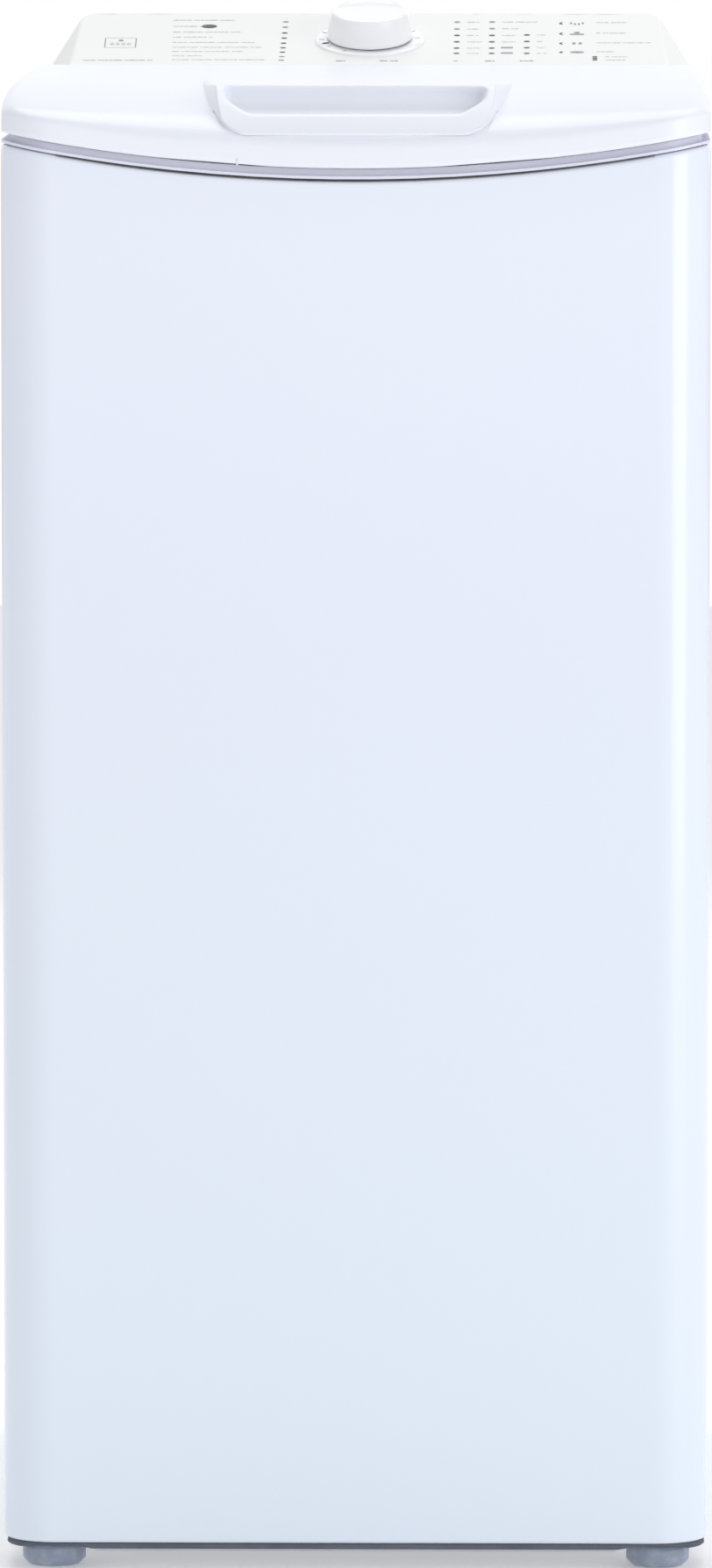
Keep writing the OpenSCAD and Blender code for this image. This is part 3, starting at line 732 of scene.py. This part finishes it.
def add_lid():
    """The lid's skin with its turned-in edge, the notches for the hinge brackets and a moulding nub."""
    right = [lid_column(*c) for c in lid_columns()]
    edge = right[-1]
    wall = []
    for t in (0.25, 0.5, 0.75, 1.0):
        wall.append([(x, y, z + (min(z, seam(LID_HALF)) - z) * t) for x, y, z in edge])
    lip = [[(x - d, y, z + rise) for x, y, z in wall[-1]]
           for d, rise in ((0.35, -0.3), (2.5, -0.3), (2.5, 6))]
    right += wall + lip
    left = [[(-x, y, z) for x, y, z in column] for column in reversed(right[1:])]
    columns = left + right
    turned = [[(x, y + back, z + rise) for x, y, z in (c[0] for c in columns)]
              for back, rise in ((2.6, 5), (2.6, -0.3), (0.4, -0.3))]
    rows = turned + [list(row) for row in zip(*columns)]
    skin = grid_piece("lid_skin", rows, "lid", "lid", replaces=("lid_shell",))

    def in_notch(v):
        x, y, z = v.co / MM
        return 148.3 < abs(x) < 157.7 and y > HINGE_Y - 6 and z < LID_TOP - 1.5

    with editing(skin.data) as work:
        notch = [face for face in work.faces if all(in_notch(v) for v in face.verts)]
        bmesh.ops.delete(work, geom=notch, context="FACES")
    nub = [(0.0, 0.28), (0.5, 0.24), (0.9, 0.1), (1.0, 0.0)]
    place = move(-66, LID_FRONT, seam(66) + 1.4) @ turn(math.pi / 2, "X")
    place = place @ Matrix.Diagonal((0.8, 2.2, 1, 1))
    # The nub takes the rim plastic, whose darker colour is painted shade.
    turned_piece("lid_nub", nub, 20, place, "rim", "lid", slot="lid_plastic")


def add_seam_shadow():
    """Dark strip in the gap over the front panel, where the sheet lies a little low: painted shadow of that
    gap.
    """
    rows = [[], [], [], []]
    for k in range(121):
        x = -168 + 2.8 * k
        show = smooth((x + 168) / 50) * smooth((168 - x) / 150)
        z = seam(x, PANEL_TOP)
        section = ((3.0, 0.55), (0.25, 0.55), (0.02, 0.5 - 0.1 * show), (0.02, 0.5 - 0.9 * show))
        for row, (y, rise) in zip(rows, section):
            row.append((x, FRONT_Y + y, z + rise))
    # Dark strip: painted shadow of the gap over the panel.
    grid_piece("seam_gap_painted_shadow", rows, "black", "cabinet", slot="rubber")


# ---- console ----

def console_top(y):
    return TROUGH_Z - math.sqrt(TROUGH_R ** 2 - (y - TROUGH_Y) ** 2)


def console_slope(y):
    return math.asin((y - TROUGH_Y) / TROUGH_R)


def on_console(x, y, lift=0.0):
    """Matrix that puts local +Z along the normal of the console's top."""
    place = move(x, y, console_top(y)) @ turn(console_slope(y), "X")
    return place @ move(0, 0, lift)


def console_edge(front, rear, r, steps=10):
    """Plan of the console, front and rear half widths given, from its right front round to its left front."""
    y0, y1 = CONSOLE_Y, CONSOLE_BACK
    half = [(front + (rear - front) * k / 12, y0 + (y1 - r - y0) * k / 12) for k in range(13)]
    half += arc(rear - r, y1 - r, r, 0, math.pi / 2, steps, 1)
    half += [((rear - r) * (1 - k / 8), y1) for k in range(1, 9)]
    return half + [(-x, y) for x, y in reversed(half[:-1])]


def add_console():
    """Hollow top with a rounded brow, and sides that sweep out to the cabinet's width."""
    top = console_edge(FASCIA_HALF, FASCIA_HALF - FASCIA_TAPER, 13.0)
    foot = console_edge(SKIRT_HALF, SKIRT_HALF, 14.0)
    rows = []
    for t in range(8):
        row = []
        for (ax, ay), (bx, by) in zip(top, foot):
            z_top = console_top(ay) - 1.2
            lean = max(0.0, z_top - SKIRT_LOW)
            reach = abs(bx) - abs(ax)
            out = min(1.0, SIDE_SLOPE * lean / max(reach, 0.01))
            z_knee = max(z_top - min(lean, reach / SIDE_SLOPE), SKIRT_LOW + 1.0)
            if t < 4:
                k = t / 4
                x, y, z = ax + (bx - ax) * out * k, ay + (by - ay) * out * k, z_top + (z_knee - z_top) * k
            else:
                k = (t - 4) / 3
                x, y = ax + (bx - ax) * out, ay + (by - ay) * out
                z = z_knee + (SKIRT_LOW - z_knee) * k
                if k == 0:
                    x, z = x - math.copysign(0.8, x) * (out == 1.0), z - 0.8
            row.append((x, y, z))
        rows.append(row)
    rows.reverse()
    for inset, below in ((0.25, 0.75), (0.8, 0.35), (1.6, 0.1), (2.6, 0.0)):
        row = []
        for x, y in top:
            nx = x - math.copysign(inset, x) * (abs(x) > 150)
            ny = min(max(y, CONSOLE_Y + inset), CONSOLE_BACK - inset)
            row.append((nx, ny, console_top(ny) - below))
        rows.append(row)
    middle = len(rows[-1]) // 2
    right, left = rows[-1][:middle + 1], list(reversed(rows[-1][middle:]))
    span = 24
    plate = [[(a[0] + (b[0] - a[0]) * k / span, a[1] + (b[1] - a[1]) * k / span) for k in range(span + 1)]
             for a, b in zip(right, left)]
    front = [[(x, CONSOLE_Y, z) for x, _, z in row[:1] + row[-1:]] for row in rows]
    cap = [[(x, y, console_top(y)) for x, y in row] for row in plate]
    grid_piece("console_skin", rows, "console", "cabinet", replaces=("console_shell", "console_fascia"))
    grid_piece("console_front", front, "console", "cabinet")
    grid_piece("console_top", cap, "console", "cabinet")


def bar(w, d):
    return [(-w / 2, -d / 2), (w / 2, -d / 2), (w / 2, d / 2), (-w / 2, d / 2)]


def oval(w, d, steps=20):
    return [(w / 2 * math.cos(2 * math.pi * k / steps), d / 2 * math.sin(2 * math.pi * k / steps))
            for k in range(steps)]


def crescent(r, steps=12):
    outer = [math.radians(60 + 240 * k / steps) for k in range(steps + 1)]
    inner = [math.radians(245 - 130 * k / steps) for k in range(steps + 1)]
    return ([(r * math.cos(a), r * math.sin(a)) for a in outer]
            + [(r * 0.55 + r * 0.72 * math.cos(a), r * 0.95 * math.sin(a)) for a in inner])


def flat_shape(verts, faces, matrix, outline):
    """Adds one flat face, given by its local outline, to a list of vertices and faces."""
    start = len(verts)
    verts += [tuple(matrix @ Vector((x, y, 0))) for x, y in outline]
    faces.append(tuple(range(start, start + len(outline))))


class Print:
    """All the flat shapes that are printed on the console in one ink."""

    SHIFT, LIFT = -4.8, 0.12

    def __init__(self, tone):
        self.tone = tone
        self.verts, self.faces = [], []

    def add(self, x, y, outline):
        flat_shape(self.verts, self.faces, on_console(x + self.SHIFT, y, self.LIFT), outline)

    def words(self, x, y, width, seed, d=1.5):
        """A row of short bars that stands for a printed label."""
        at, k = x, seed
        while at < x + width - 2:
            length = min(1.6 + (k * 7 % 5) * 0.75, x + width - at)
            self.add(at + length / 2, y, bar(length, d * (0.7 + 0.3 * ((k * 3) % 2))))
            at += length + (1.5 if k % 4 == 3 else 0.45)
            k += 1

    def finish(self):
        piece(f"print_{self.tone}", self.verts, self.faces, f"ink_{self.tone}", "cabinet",
              flat=True, merge=0.0001)


def add_prints():
    """Lamps, signs and bars for labels on the console's top."""
    dark, grey, faint = Print("dark"), Print("grey"), Print("faint")
    # programme lamps left of the knob
    for k, y in enumerate((267.8, 259.2, 249.2, 240.0, 230.5, 221.5, 212.5, 203.0, 195.0)):
        (dark if 1 < k < 7 else grey).add(-46.8 - 0.13 * k, y, oval(3.6, 2.6))
    # programme list
    lines = ((270.5, 38), (260.5, 24), (250.8, 41), (241.8, 24), (232.0, 50), (222.5, 54), (214.0, 44),
             (204.8, 18), (196.2, 56))
    for k, (y, w) in enumerate(lines):
        faint.words(-115.3 + 0.17 * k, y, w, 3 * k + 1)
    dark.add(-93.2, 260.5, oval(9.5, 6.4, 28))
    # framed sign on the left
    sign_x, sign_y, sign_half = -146.2, 231.0, 9.3
    for s in (-sign_half, sign_half):
        grey.add(sign_x + s, sign_y, bar(0.7, 19))
        faint.add(sign_x, sign_y + s, bar(18, 0.5))
    for dx in (-5, -1.6, 1.8, 5.2):
        faint.add(sign_x + dx, 229.0, oval(2.6, 5.0, 14))
    grey.add(-146.0, 235.6, oval(3.2, 3.6, 14))
    grey.words(-167.5, 194.6, 42, 2, 1.2)
    # lamps over the three option buttons, with their labels
    for x, ys, widths in ((57.6, (267.5, 256.2, 245.0, 233.2, 221.0, 210.2), (9, 9, 9, 9, 9, 9)),
                          (78.9, (267.8, 256.8, 245.0, 233.2, 221.0, 210.2), (22, 10, 8, 8, 0, 0)),
                          (100.1, (245.8, 234.0, 221.8, 210.2), (6, 5, 5, 6))):
        for k, (y, w) in enumerate(zip(ys, widths)):
            (dark if k > 1 or x > 90 else grey).add(x, y, oval(3.8, 2.9))
            if w:
                faint.words(x + 6.2, y, w, k + int(x))
    for y in (222.0, 211.0):
        grey.add(78.9 + 9.2, y, bar(7.2, 3.0))
    # button captions
    for x, w in ((-11, 8), (17, 11), (58, 4), (79, 8), (100, 8)):
        grey.words(x - w / 2, 193.4, w, int(x) % 5 + 5, 1.9)
    # phase marks with their signs and labels
    for k, (y, w) in enumerate(((265.5, 19), (248.0, 18), (230.2, 33), (212.5, 13))):
        dark.add(121.6, y, crescent(1.9))
        faint.words(142.3, y + 1.4, w, k + 2)
    phase_x = 130.5
    for dx in (-3.6, -1.2, 1.2, 3.6):
        grey.add(phase_x + dx, 265.8 - 1.4 * (abs(dx) < 2), oval(1.5, 3.4, 12))
    grey.add(phase_x, 247.0, bar(8.5, 2.2))
    grey.add(phase_x, 250.0, oval(4.0, 3.4, 12))
    for dx in (-1.9, 1.9):
        grey.add(phase_x + dx, 230.4, oval(2.2, 4.4, 12))
    grey.add(phase_x, 212.8, oval(8.6, 4.2, 20))
    for dy in (-3.4, 0, 3.4):
        dark.add(141.2, 199.4 + dy, bar(2.8, 2.6))
    for k, w in enumerate((15, 12)):
        faint.words(147.5, 203.0 - 7 * k, w, k + 3)
    for ink_print in (dark, grey, faint):
        ink_print.finish()


def add_knob():
    """Turned cap with a rolled rim and a shallow dish, its ring, the marks printed on the ring, and a painted
    shadow on the ring.
    """
    r = KNOB_R
    profile = [(0, 15.9), (10, 16.0), (17, 16.4), (19.6, 16.8), (20.6, 17.1), (21.8, 17.15), (22.8, 16.8),
               (23.4, 16.2), (23.8, 15.0), (24.4, 11.5), (25.0, 7.5), (25.6, 3.6), (26.0, 1.4), (25.9, 0.5),
               (25.4, 0.0), (20.0, 0.0), (19.5, 0.6), (5.0, 0.6)]
    bezel = [(r - 2, 0.0), (r - 2, 1.6), (r - 1.2, 2.0), (r + 4.5, 2.0), (r + 6.2, 1.7), (r + 7.0, 0.9),
             (r + 7.0, 0.0)]
    flat = on_console(0, KNOB_Y, 0)
    turned_piece("knob_cap", profile, 128, on_console(0, KNOB_Y, 2.6), "knob", "knob",
                 replaces=("programme_knob",))
    turned_piece("knob_ring", bezel, 128, flat, "knob", "cabinet", replaces=("knob_bezel",))

    def on_ring(a, out, lift):
        at = move(math.sin(a) * (r + out), math.cos(a) * (r + out), lift)
        return flat @ at @ turn(-a, "Z")

    marks = [math.radians(150 + 240 * k / 9 + 60) for k in range(10)]
    verts, faces = [], []
    for a in marks:
        flat_shape(verts, faces, on_ring(a, 3.2, 2.12), bar(0.7, 3.0))
    piece("knob_marks", verts, faces, "ink_grey", "cabinet", flat=True)
    # A dark oval on the ring at the cap's left front: painted shadow of the cap on the ring.
    verts, faces = [], []
    flat_shape(verts, faces, on_ring(math.radians(-112), 2.6, 2.15), oval(3.0, 4.6, 16))
    piece("knob_ring_painted_shadow", verts, faces, "ink_dark", "cabinet", flat=True)


def add_buttons():
    cap = [(0, 2.0), (3.2, 1.95), (4.2, 1.7), (4.75, 1.2), (4.95, 0.5), (4.95, -4.0)]
    for i, x in enumerate(BUTTON_XS):
        turned_piece(f"button_cap_{i + 1}", cap, 48, on_console(x, BUTTON_Y, 0), "knob", f"key_{i + 1}",
                     replaces=(f"button_{i + 1}",))


# ---- feet ----

def add_feet():
    """Moulded pads on threaded stems."""
    profile = [(0, 0), (13.4, 0), (14.4, 0.25), (15.1, 0.8), (17.3, 3.0), (17.9, 3.8), (18.0, 4.8),
               (18.0, 9.8), (17.7, 10.8), (16.9, 11.6), (15.8, 12.0), (12.0, 12.3), (11.6, 13.0), (9.0, 13.2),
               (0, 13.2)]
    stem = [(5.0, 13.0), (5.0, 17.0)]
    stem += [(5.0 if k % 2 else 4.35, 17.4 + k * 0.75) for k in range(18)]
    stem += [(5.0, 32.0), (4.4, 32.8), (0, 32.8)]
    for corner in ("front_left", "front_right", "back_left", "back_right"):
        low, high = box_mm(f"foot_{corner}")
        centre = (low + high) / 2
        place = move(centre.x, centre.y, low.z)
        foot = turned_piece(f"foot_pad_{corner}", profile, 72, place, "foot", f"leveller_{corner}",
                            replaces=(f"foot_{corner}",))
        sharp_by_angle(foot, 50)
        turned_piece(f"foot_stem_{corner}", stem, 36, place, "zinc", f"leveller_{corner}")


# ---- back panel relief ----

def pad(verts, faces, place, w, d, h, power=6.0, steps=40):
    """Adds a low pressed pad, w by d by h, with rounded ends and a soft edge, in the plane of place."""
    start = len(verts)
    rings = ((1.0, 0.0), (0.97, 0.45), (0.91, 0.82), (0.82, 0.97), (0.7, 1.0))
    short = min(w, d)
    for scale, rise in rings:
        inset = short / 2 * (1 - scale)
        a, b = w / 2 - inset, d / 2 - inset
        for k in range(steps):
            t = 2 * math.pi * k / steps
            c, v = math.cos(t), math.sin(t)
            x = math.copysign(abs(c) ** (2 / power), c) * a
            y = math.copysign(abs(v) ** (2 / power), v) * b
            verts.append(tuple(place @ Vector((x, y, h * rise))))
    faces += [tuple(start + i for i in face) for face in grid_faces(len(rings), steps, close_columns=True)]
    last = start + (len(rings) - 1) * steps
    faces.append(tuple(last + k for k in range(steps)))


def add_back_relief():
    """Pressed stiffening beads and cooling louvres over the flat back sheet."""
    verts, faces = [], []
    face_y = BACK_Y + 1.0
    upright = turn(math.pi / 2, "X") @ turn(math.pi, "Y")
    spots = [(0, z, 256, 22, 2.0) for z in (337, 397, 457)]
    spots += [(x, 410, 13, 470, 1.6) for x in (-168, 168)]
    spots += [(95, z, 92, 7, 2.2) for z in (96, 110, 124, 138, 152, 166)]
    spots += [(0, 655, 210, 12, 1.4), (0, 60, 300, 12, 1.4)]
    for x, z, w, d, h in spots:
        pad(verts, faces, move(x, face_y, z) @ upright, w, d, h)
    piece("back_relief", verts, faces, "zinc_sheet", "cabinet")


# ---- bellows and springs ----

NECK_TOP, COLLAR_Z = 690.0, 735.0
MOUTH_W, MOUTH_D, MOUTH_R = 244.0, 304.0, 22.0


def round_rect_path(w, d, r, bend=8, side=10):
    """Points (x, y) of a rectangle with rounded corners, centred on the mouth."""
    path = []
    corners = ((1, 1, 0), (-1, 1, 90), (-1, -1, 180), (1, -1, 270))
    for k, (sx, sy, first) in enumerate(corners):
        cx, cy = sx * (w / 2 - r), sy * (d / 2 - r)
        path += [(cx + r * math.cos(math.radians(first + 90 * j / bend)),
                  TUB_Y + cy + r * math.sin(math.radians(first + 90 * j / bend))) for j in range(bend + 1)]
        nx, ny, _ = corners[(k + 1) % 4]
        a = path[-1]
        after = math.radians(first + 90)
        b = (nx * (w / 2 - r) + r * math.cos(after), TUB_Y + ny * (d / 2 - r) + r * math.sin(after))
        path += [(a[0] + (b[0] - a[0]) * j / side, a[1] + (b[1] - a[1]) * j / side) for j in range(1, side)]
    return path


def ring_piece(name, outline, finish, body, **options):
    """A closed ring round the mouth whose section is a list of (distance outside the mouth, height)."""
    rows = [[(x, y, z) for x, y in round_rect_path(MOUTH_W + 2 * out, MOUTH_D + 2 * out, MOUTH_R + out)]
            for out, z in outline]
    return grid_piece(name, rows, finish, body, close_columns=True, **options)


def add_bellows():
    """Moulded rubber bellows with five folds and a bead at each end."""
    folds, steps = 5, 50
    outline = [(3.2, -4.0), (4.4, -3.4), (4.6, -1.4), (3.4, -0.4)]
    for k in range(steps + 1):
        t = k / steps
        outline.append((6.4 - 3.4 * math.cos(2 * math.pi * folds * t), (COLLAR_Z - NECK_TOP) * t))
    outline += [(3.4, 45.3), (4.4, 46.2), (4.4, 48.4), (3.0, 49.0)]
    outline = [(out, NECK_TOP + rise) for out, rise in outline]
    sleeve = ring_piece("bellows_sleeve", outline, "rubber", None, replaces=("mouth_bellows",))
    thicken(sleeve, 1.3, 0.0, even=False)
    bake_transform(sleeve, "tub", "cabinet", start=(0, TUB_Y * MM, 0.692), end=(0, TUB_Y * MM, 0.733))


def add_mouth_trim():
    """Rolled lip round the mouth, the soft seal on the lid that meets it, and the neck's clamp wire."""
    lip = [(2.1, 783.0), (2.0, 786.2), (2.5, 787.5), (3.6, 788.3), (5.2, 788.6), (8.0, 788.5), (10.2, 787.9),
           (11.6, 786.9), (12.2, 785.9)]
    seal = [(3.4, 798.2), (3.6, 793.2), (4.4, 791.2), (5.8, 790.2), (7.4, 790.0), (9.0, 790.6), (10.0, 792.2),
            (10.4, 794.8), (11.8, 796.4), (13.0, 798.2)]
    ring_piece("mouth_lip", lip, "rim", "cabinet")
    ring_piece("lid_seal", seal, "valve", "lid")
    ring_piece("neck_clamp", arc(5.6, 688.6, 1.3, 0, 2 * math.pi, 12), "zinc", "tub")


def add_lid_ribs():
    """Shallow pressed pads on the lid's inner face, seen when it stands open."""
    verts, faces = [], []
    for x, y, w, d in ((-70, -215, 90, 10), (-150, -40, 12, 180), (150, -40, 12, 180), (0, 60, 190, 8),
                       (0, 44, 190, 8), (0, 28, 190, 8)):
        place = move(x, y, LID_LOW + 1.6) @ turn(math.pi, "X")
        pad(verts, faces, place, w, d, 1.6, 5.0)
    piece("liner_relief", verts, faces, "lid", "lid")
    plan = ((-138, 111), (138, 111), (138, 131.5), (-138, 131.5))
    corners = [(x, y, z) for z in (LID_LOW + 1.5, LID_LOW + 3.5) for x, y in plan]
    sides = [(0, 3, 2, 1), (4, 5, 6, 7), (0, 1, 5, 4), (1, 2, 6, 5), (2, 3, 7, 6), (3, 0, 4, 7)]
    tail = piece("liner_tail", corners, sides, "lid", "lid")
    soften(tail, 0.9, 3)
    sharp_by_angle(tail, 40)


def add_springs():
    """Coil springs whose turns lie closer together at both ends."""
    spring_x, low, high, radius, wire, sides = 178, 557.0, 700.0, 9.0, 1.6, 10
    turns, steps = 10, 24
    for sx in (-1, 1):
        for y in (-185, 115):
            centres = []
            for k in range(turns * steps + 1):
                t = k / (turns * steps)
                rise = t - 0.045 * math.sin(2 * math.pi * t)
                a = 2 * math.pi * turns * t
                centres.append(Vector((sx * spring_x + radius * math.cos(a), y + radius * math.sin(a),
                                       low + wire + (high - low - 2 * wire) * rise)))
            rows = []
            for k, here in enumerate(centres):
                before, after = centres[max(0, k - 1)], centres[min(len(centres) - 1, k + 1)]
                along = (after - before).normalized()
                out = (here - Vector((sx * spring_x, y, here.z))).normalized()
                up = along.cross(out).normalized()
                rows.append([tuple(here + wire * (out * math.cos(b) + up * math.sin(b)))
                             for b in (2 * math.pi * j / sides for j in range(sides))])
            rows = [[tuple(centres[0])] * sides] + rows + [[tuple(centres[-1])] * sides]
            name = f"spring_{'left' if sx < 0 else 'right'}_{'front' if y < 0 else 'back'}"
            spring = grid_piece(name, rows, "spring", None, close_columns=True,
                                replaces=("suspension_springs",))
            at = (sx * spring_x * MM, y * MM)
            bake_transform(spring, "tub", "cabinet", start=(*at, 0.560), end=(*at, 0.697))


# ---- drum ----

def add_drum_wall():
    """Rolled sheet with dished, punched holes and an open mouth, and the hinge pins of the flaps."""
    half, r, opening, pitch, sectors = 140.0, DRUM_R, 102, 17, 65
    dish_r, hole_r, hole_depth = 4.2, 2.3, 0.7
    edge = math.degrees(math.asin(124.0 / r))
    span = math.degrees(1 / r)
    xs = [-half] + [-opening + pitch * k for k in range(-2, 15)] + [half]
    angles = [edge + (360 - 2 * edge) * k / sectors for k in range(sectors + 1)]
    angles += [-edge + 2 * edge * k / 15 for k in range(1, 15)]
    verts, faces, known = [], [], {}

    def vert(x, angle, push=0.0):
        key = (round(x, 3), round(angle % 360, 4), push)
        if key not in known:
            a = math.radians(angle)
            known[key] = len(verts)
            verts.append((x, TUB_Y + (r - push) * math.sin(a), TUB_Z + (r - push) * math.cos(a)))
        return known[key]

    for x0, x1 in zip(xs, xs[1:]):
        for j, a0 in enumerate(angles):
            a1 = angles[j + 1] if j + 1 < len(angles) else edge
            if a1 < a0:
                a1 += 360
            top = j >= sectors
            if top and x0 >= -opening and x1 <= opening:
                continue
            xm, am = (x0 + x1) / 2, (a0 + a1) / 2
            ring = [vert(x0, a0), vert(xm, a0), vert(x1, a0), vert(x1, am), vert(x1, a1), vert(xm, a1),
                    vert(x0, a1), vert(x0, am)]
            if x1 - x0 < 10 or top:
                faces += [(*ring[:4], ring[7]), (ring[7], *ring[3:7])]
                continue
            hole, dish = [], []
            for k in range(8):
                corner = math.radians(225 + 45 * k)
                c, v = math.cos(corner), math.sin(corner)
                dish.append(vert(xm + dish_r * c, am + dish_r * v * span))
                hole.append(vert(xm + hole_r * c, am + hole_r * v * span, -hole_depth))
            for k in range(8):
                n = (k + 1) % 8
                faces += [(ring[k], ring[n], dish[n], dish[k]), (dish[k], dish[n], hole[n], hole[k])]
    wall = piece("drum_sheet", verts, faces, "stainless", "drum", replaces=("drum_wall",))
    thicken(wall, 1.0)
    pin_y = 122.3
    pin_z = math.sqrt((r - 1.5) ** 2 - pin_y ** 2)
    rod = [(0, -101), (1.3, -101), (1.5, -100.7), (1.5, 100.7), (1.3, 101), (0, 101)]
    for s, side in ((-1, "front"), (1, "rear")):
        place = move(0, TUB_Y + s * pin_y, TUB_Z + pin_z) @ turn(math.pi / 2, "Y")
        turned_piece(f"flap_pin_{side}", rod, 20, place, "zinc", "drum")


def add_flap_relief():
    """Pressed pads that stiffen the flaps, on their outside."""
    for body, s in (("flap_front", -1), ("flap_rear", 1)):
        verts, faces = [], []
        for x in (-72, -36, 0, 36, 72):
            for deg in (12.5, 24.0):
                if s > 0 and abs(x) < 20 and deg < 15:
                    continue
                tilt = turn(-math.radians(s * deg), "X")
                place = move(x, TUB_Y, TUB_Z) @ tilt @ move(0, 0, DRUM_R - 0.15)
                pad(verts, faces, place, 22, 26, 1.1, 2.6, 28)
        piece(f"{body}_relief", verts, faces, "stainless", body_name(body))


def body_name(node):
    """The body that a CAD node rides on."""
    return body_of(nodes[node])[0]


# ---- CAD nodes that take a finish, some as copies with rounded edges ----

CAD_FINISH = {
    "back_panel": "zinc_sheet", "base_tray": "tray", "top_frame": "rim", "control_board": "board",
    "hinge_brackets": "zinc", "lid_lock": "black", "fill_valve": "valve", "fill_hose": "rubber",
    "drain_pump": "tray", "drain_outlet": "black", "cable_gland": "black", "transit_plugs": "valve",
    "damper_tubes": "black", "spring_hangers": "zinc", "panel_screws": "zinc",
    "lid_liner": "lid", "dispenser_tray": "tray", "lid_catch": "black",
    "tub_wall": "tub", "tub_end_left": "tub", "tub_end_right": "tub", "tub_neck": "tub",
    "counterweights": "weight", "drum_bearings": "zinc", "heater": "zinc", "motor_housing": "motor",
    "damper_rods": "zinc", "drive_belt": "rubber", "drum_end_left": "stainless",
    "drum_end_right": "stainless", "drum_lifters": "valve", "drum_pulley": "aluminium",
    "flap_front": "stainless", "flap_rear": "stainless", "flap_latch": "latch", "motor_rotor": "zinc",
    "pump_impeller": "valve"}

BEVELLED = ("dispenser_tray", "lid_lock", "fill_valve", "drain_pump", "counterweights", "hinge_brackets",
            "transit_plugs", "tub_end_left", "tub_end_right", "motor_housing", "lid_liner", "lid_catch",
            "drain_outlet", "cable_gland", "drum_lifters", "drum_pulley", "spring_hangers", "panel_screws")


def refine_node(name, finish):
    """A copy of a CAD node with merged flats and rounded edges, in the node's place."""
    source = nodes[name]
    data = source.data.copy()
    data.transform(source.matrix_world)
    with editing(data) as work:
        bmesh.ops.remove_doubles(work, verts=work.verts, dist=0.002 * MM)
        bmesh.ops.dissolve_limit(work, angle_limit=math.radians(1), verts=work.verts, edges=work.edges)
        for face in work.faces:
            face.smooth = True
    data.materials.clear()
    data.materials.append(MAT[finish])
    fine = new_object(f"{name}_fine", data)
    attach(fine, body_name(name))
    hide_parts(name)
    soften(fine, 0.7)
    sharp_by_angle(fine, 40)


def finish_cad_nodes():
    for name, finish in CAD_FINISH.items():
        obj = nodes[name]
        obj.data.materials.clear()
        obj.data.materials.append(MAT[finish])
        if name in BEVELLED:
            refine_node(name, finish)
            continue
        for polygon in obj.data.polygons:
            polygon.use_smooth = True
        sharp_by_angle(obj, 30)


MAT = {
    "enamel": enamel(),
    "lid": lid_plastic(),
    # Rim plastic: its darker, bluer colour is painted shade.
    "rim": rim_plastic_painted_shade(),
    "console": console_plastic(),
    "knob": knob_plastic(),
    "foot": foot_plastic(),
    "ink_dark": ink("ink_dark", (0.07, 0.08, 0.09)),
    "ink_grey": ink("ink_grey", (0.30, 0.31, 0.33)),
    "ink_faint": ink("ink_faint", (0.58, 0.58, 0.57)),
    "zinc_sheet": zinc_sheet(),
    "tray": moulded("tray_plastic", (0.80, 0.81, 0.84), (0.76, 0.77, 0.80), 0.45),
    "valve": moulded("valve_plastic", (0.80, 0.81, 0.83), (0.76, 0.77, 0.80), 0.4),
    "black": moulded("black_plastic", (0.035, 0.036, 0.04), (0.055, 0.056, 0.06), 0.5),
    "tub": moulded("tub_plastic", (0.50, 0.51, 0.52), (0.44, 0.45, 0.47), 0.5, 400, 0.25),
    "rubber": moulded("grey_rubber", (0.16, 0.165, 0.175), (0.21, 0.215, 0.225), 0.75, 700, 0.3),
    # Dark colour of the strip under the front panel: painted shadow of the gap there.
    "seal": moulded("painted_gap_shadow", (0.09, 0.10, 0.13), (0.13, 0.14, 0.17), 0.7, 700, 0.2),
    "board": moulded("board", (0.03, 0.20, 0.09), (0.05, 0.28, 0.13), 0.4),
    "latch": moulded("latch_plastic", (0.08, 0.25, 0.52), (0.10, 0.30, 0.58), 0.3),
    "motor": moulded("motor_paint", (0.08, 0.085, 0.095), (0.12, 0.125, 0.135), 0.45, 500, 0.2),
    "weight": concrete_paint(),
    "zinc": brushed("zinc_steel", (0.62, 0.63, 0.65), 0.32, (1, 1, 1), 90),
    "spring": brushed("spring_steel", (0.20, 0.21, 0.23), 0.35, (1, 1, 1), 120),
    "stainless": brushed("stainless", (0.82, 0.83, 0.85), 0.36, (1, 18, 18), 30, 0.01),
    "aluminium": brushed("aluminium", (0.68, 0.69, 0.71), 0.42, (1, 1, 1), 200),
}

add_camera()
add_studio()
add_front_panel()
add_base_gap_shadow()
add_side_panels()
add_lid()
add_seam_shadow()
add_console()
add_prints()
add_knob()
add_buttons()
add_feet()
finish_cad_nodes()
add_back_relief()
add_bellows()
add_springs()
add_mouth_trim()
add_lid_ribs()
add_drum_wall()
add_flap_relief()
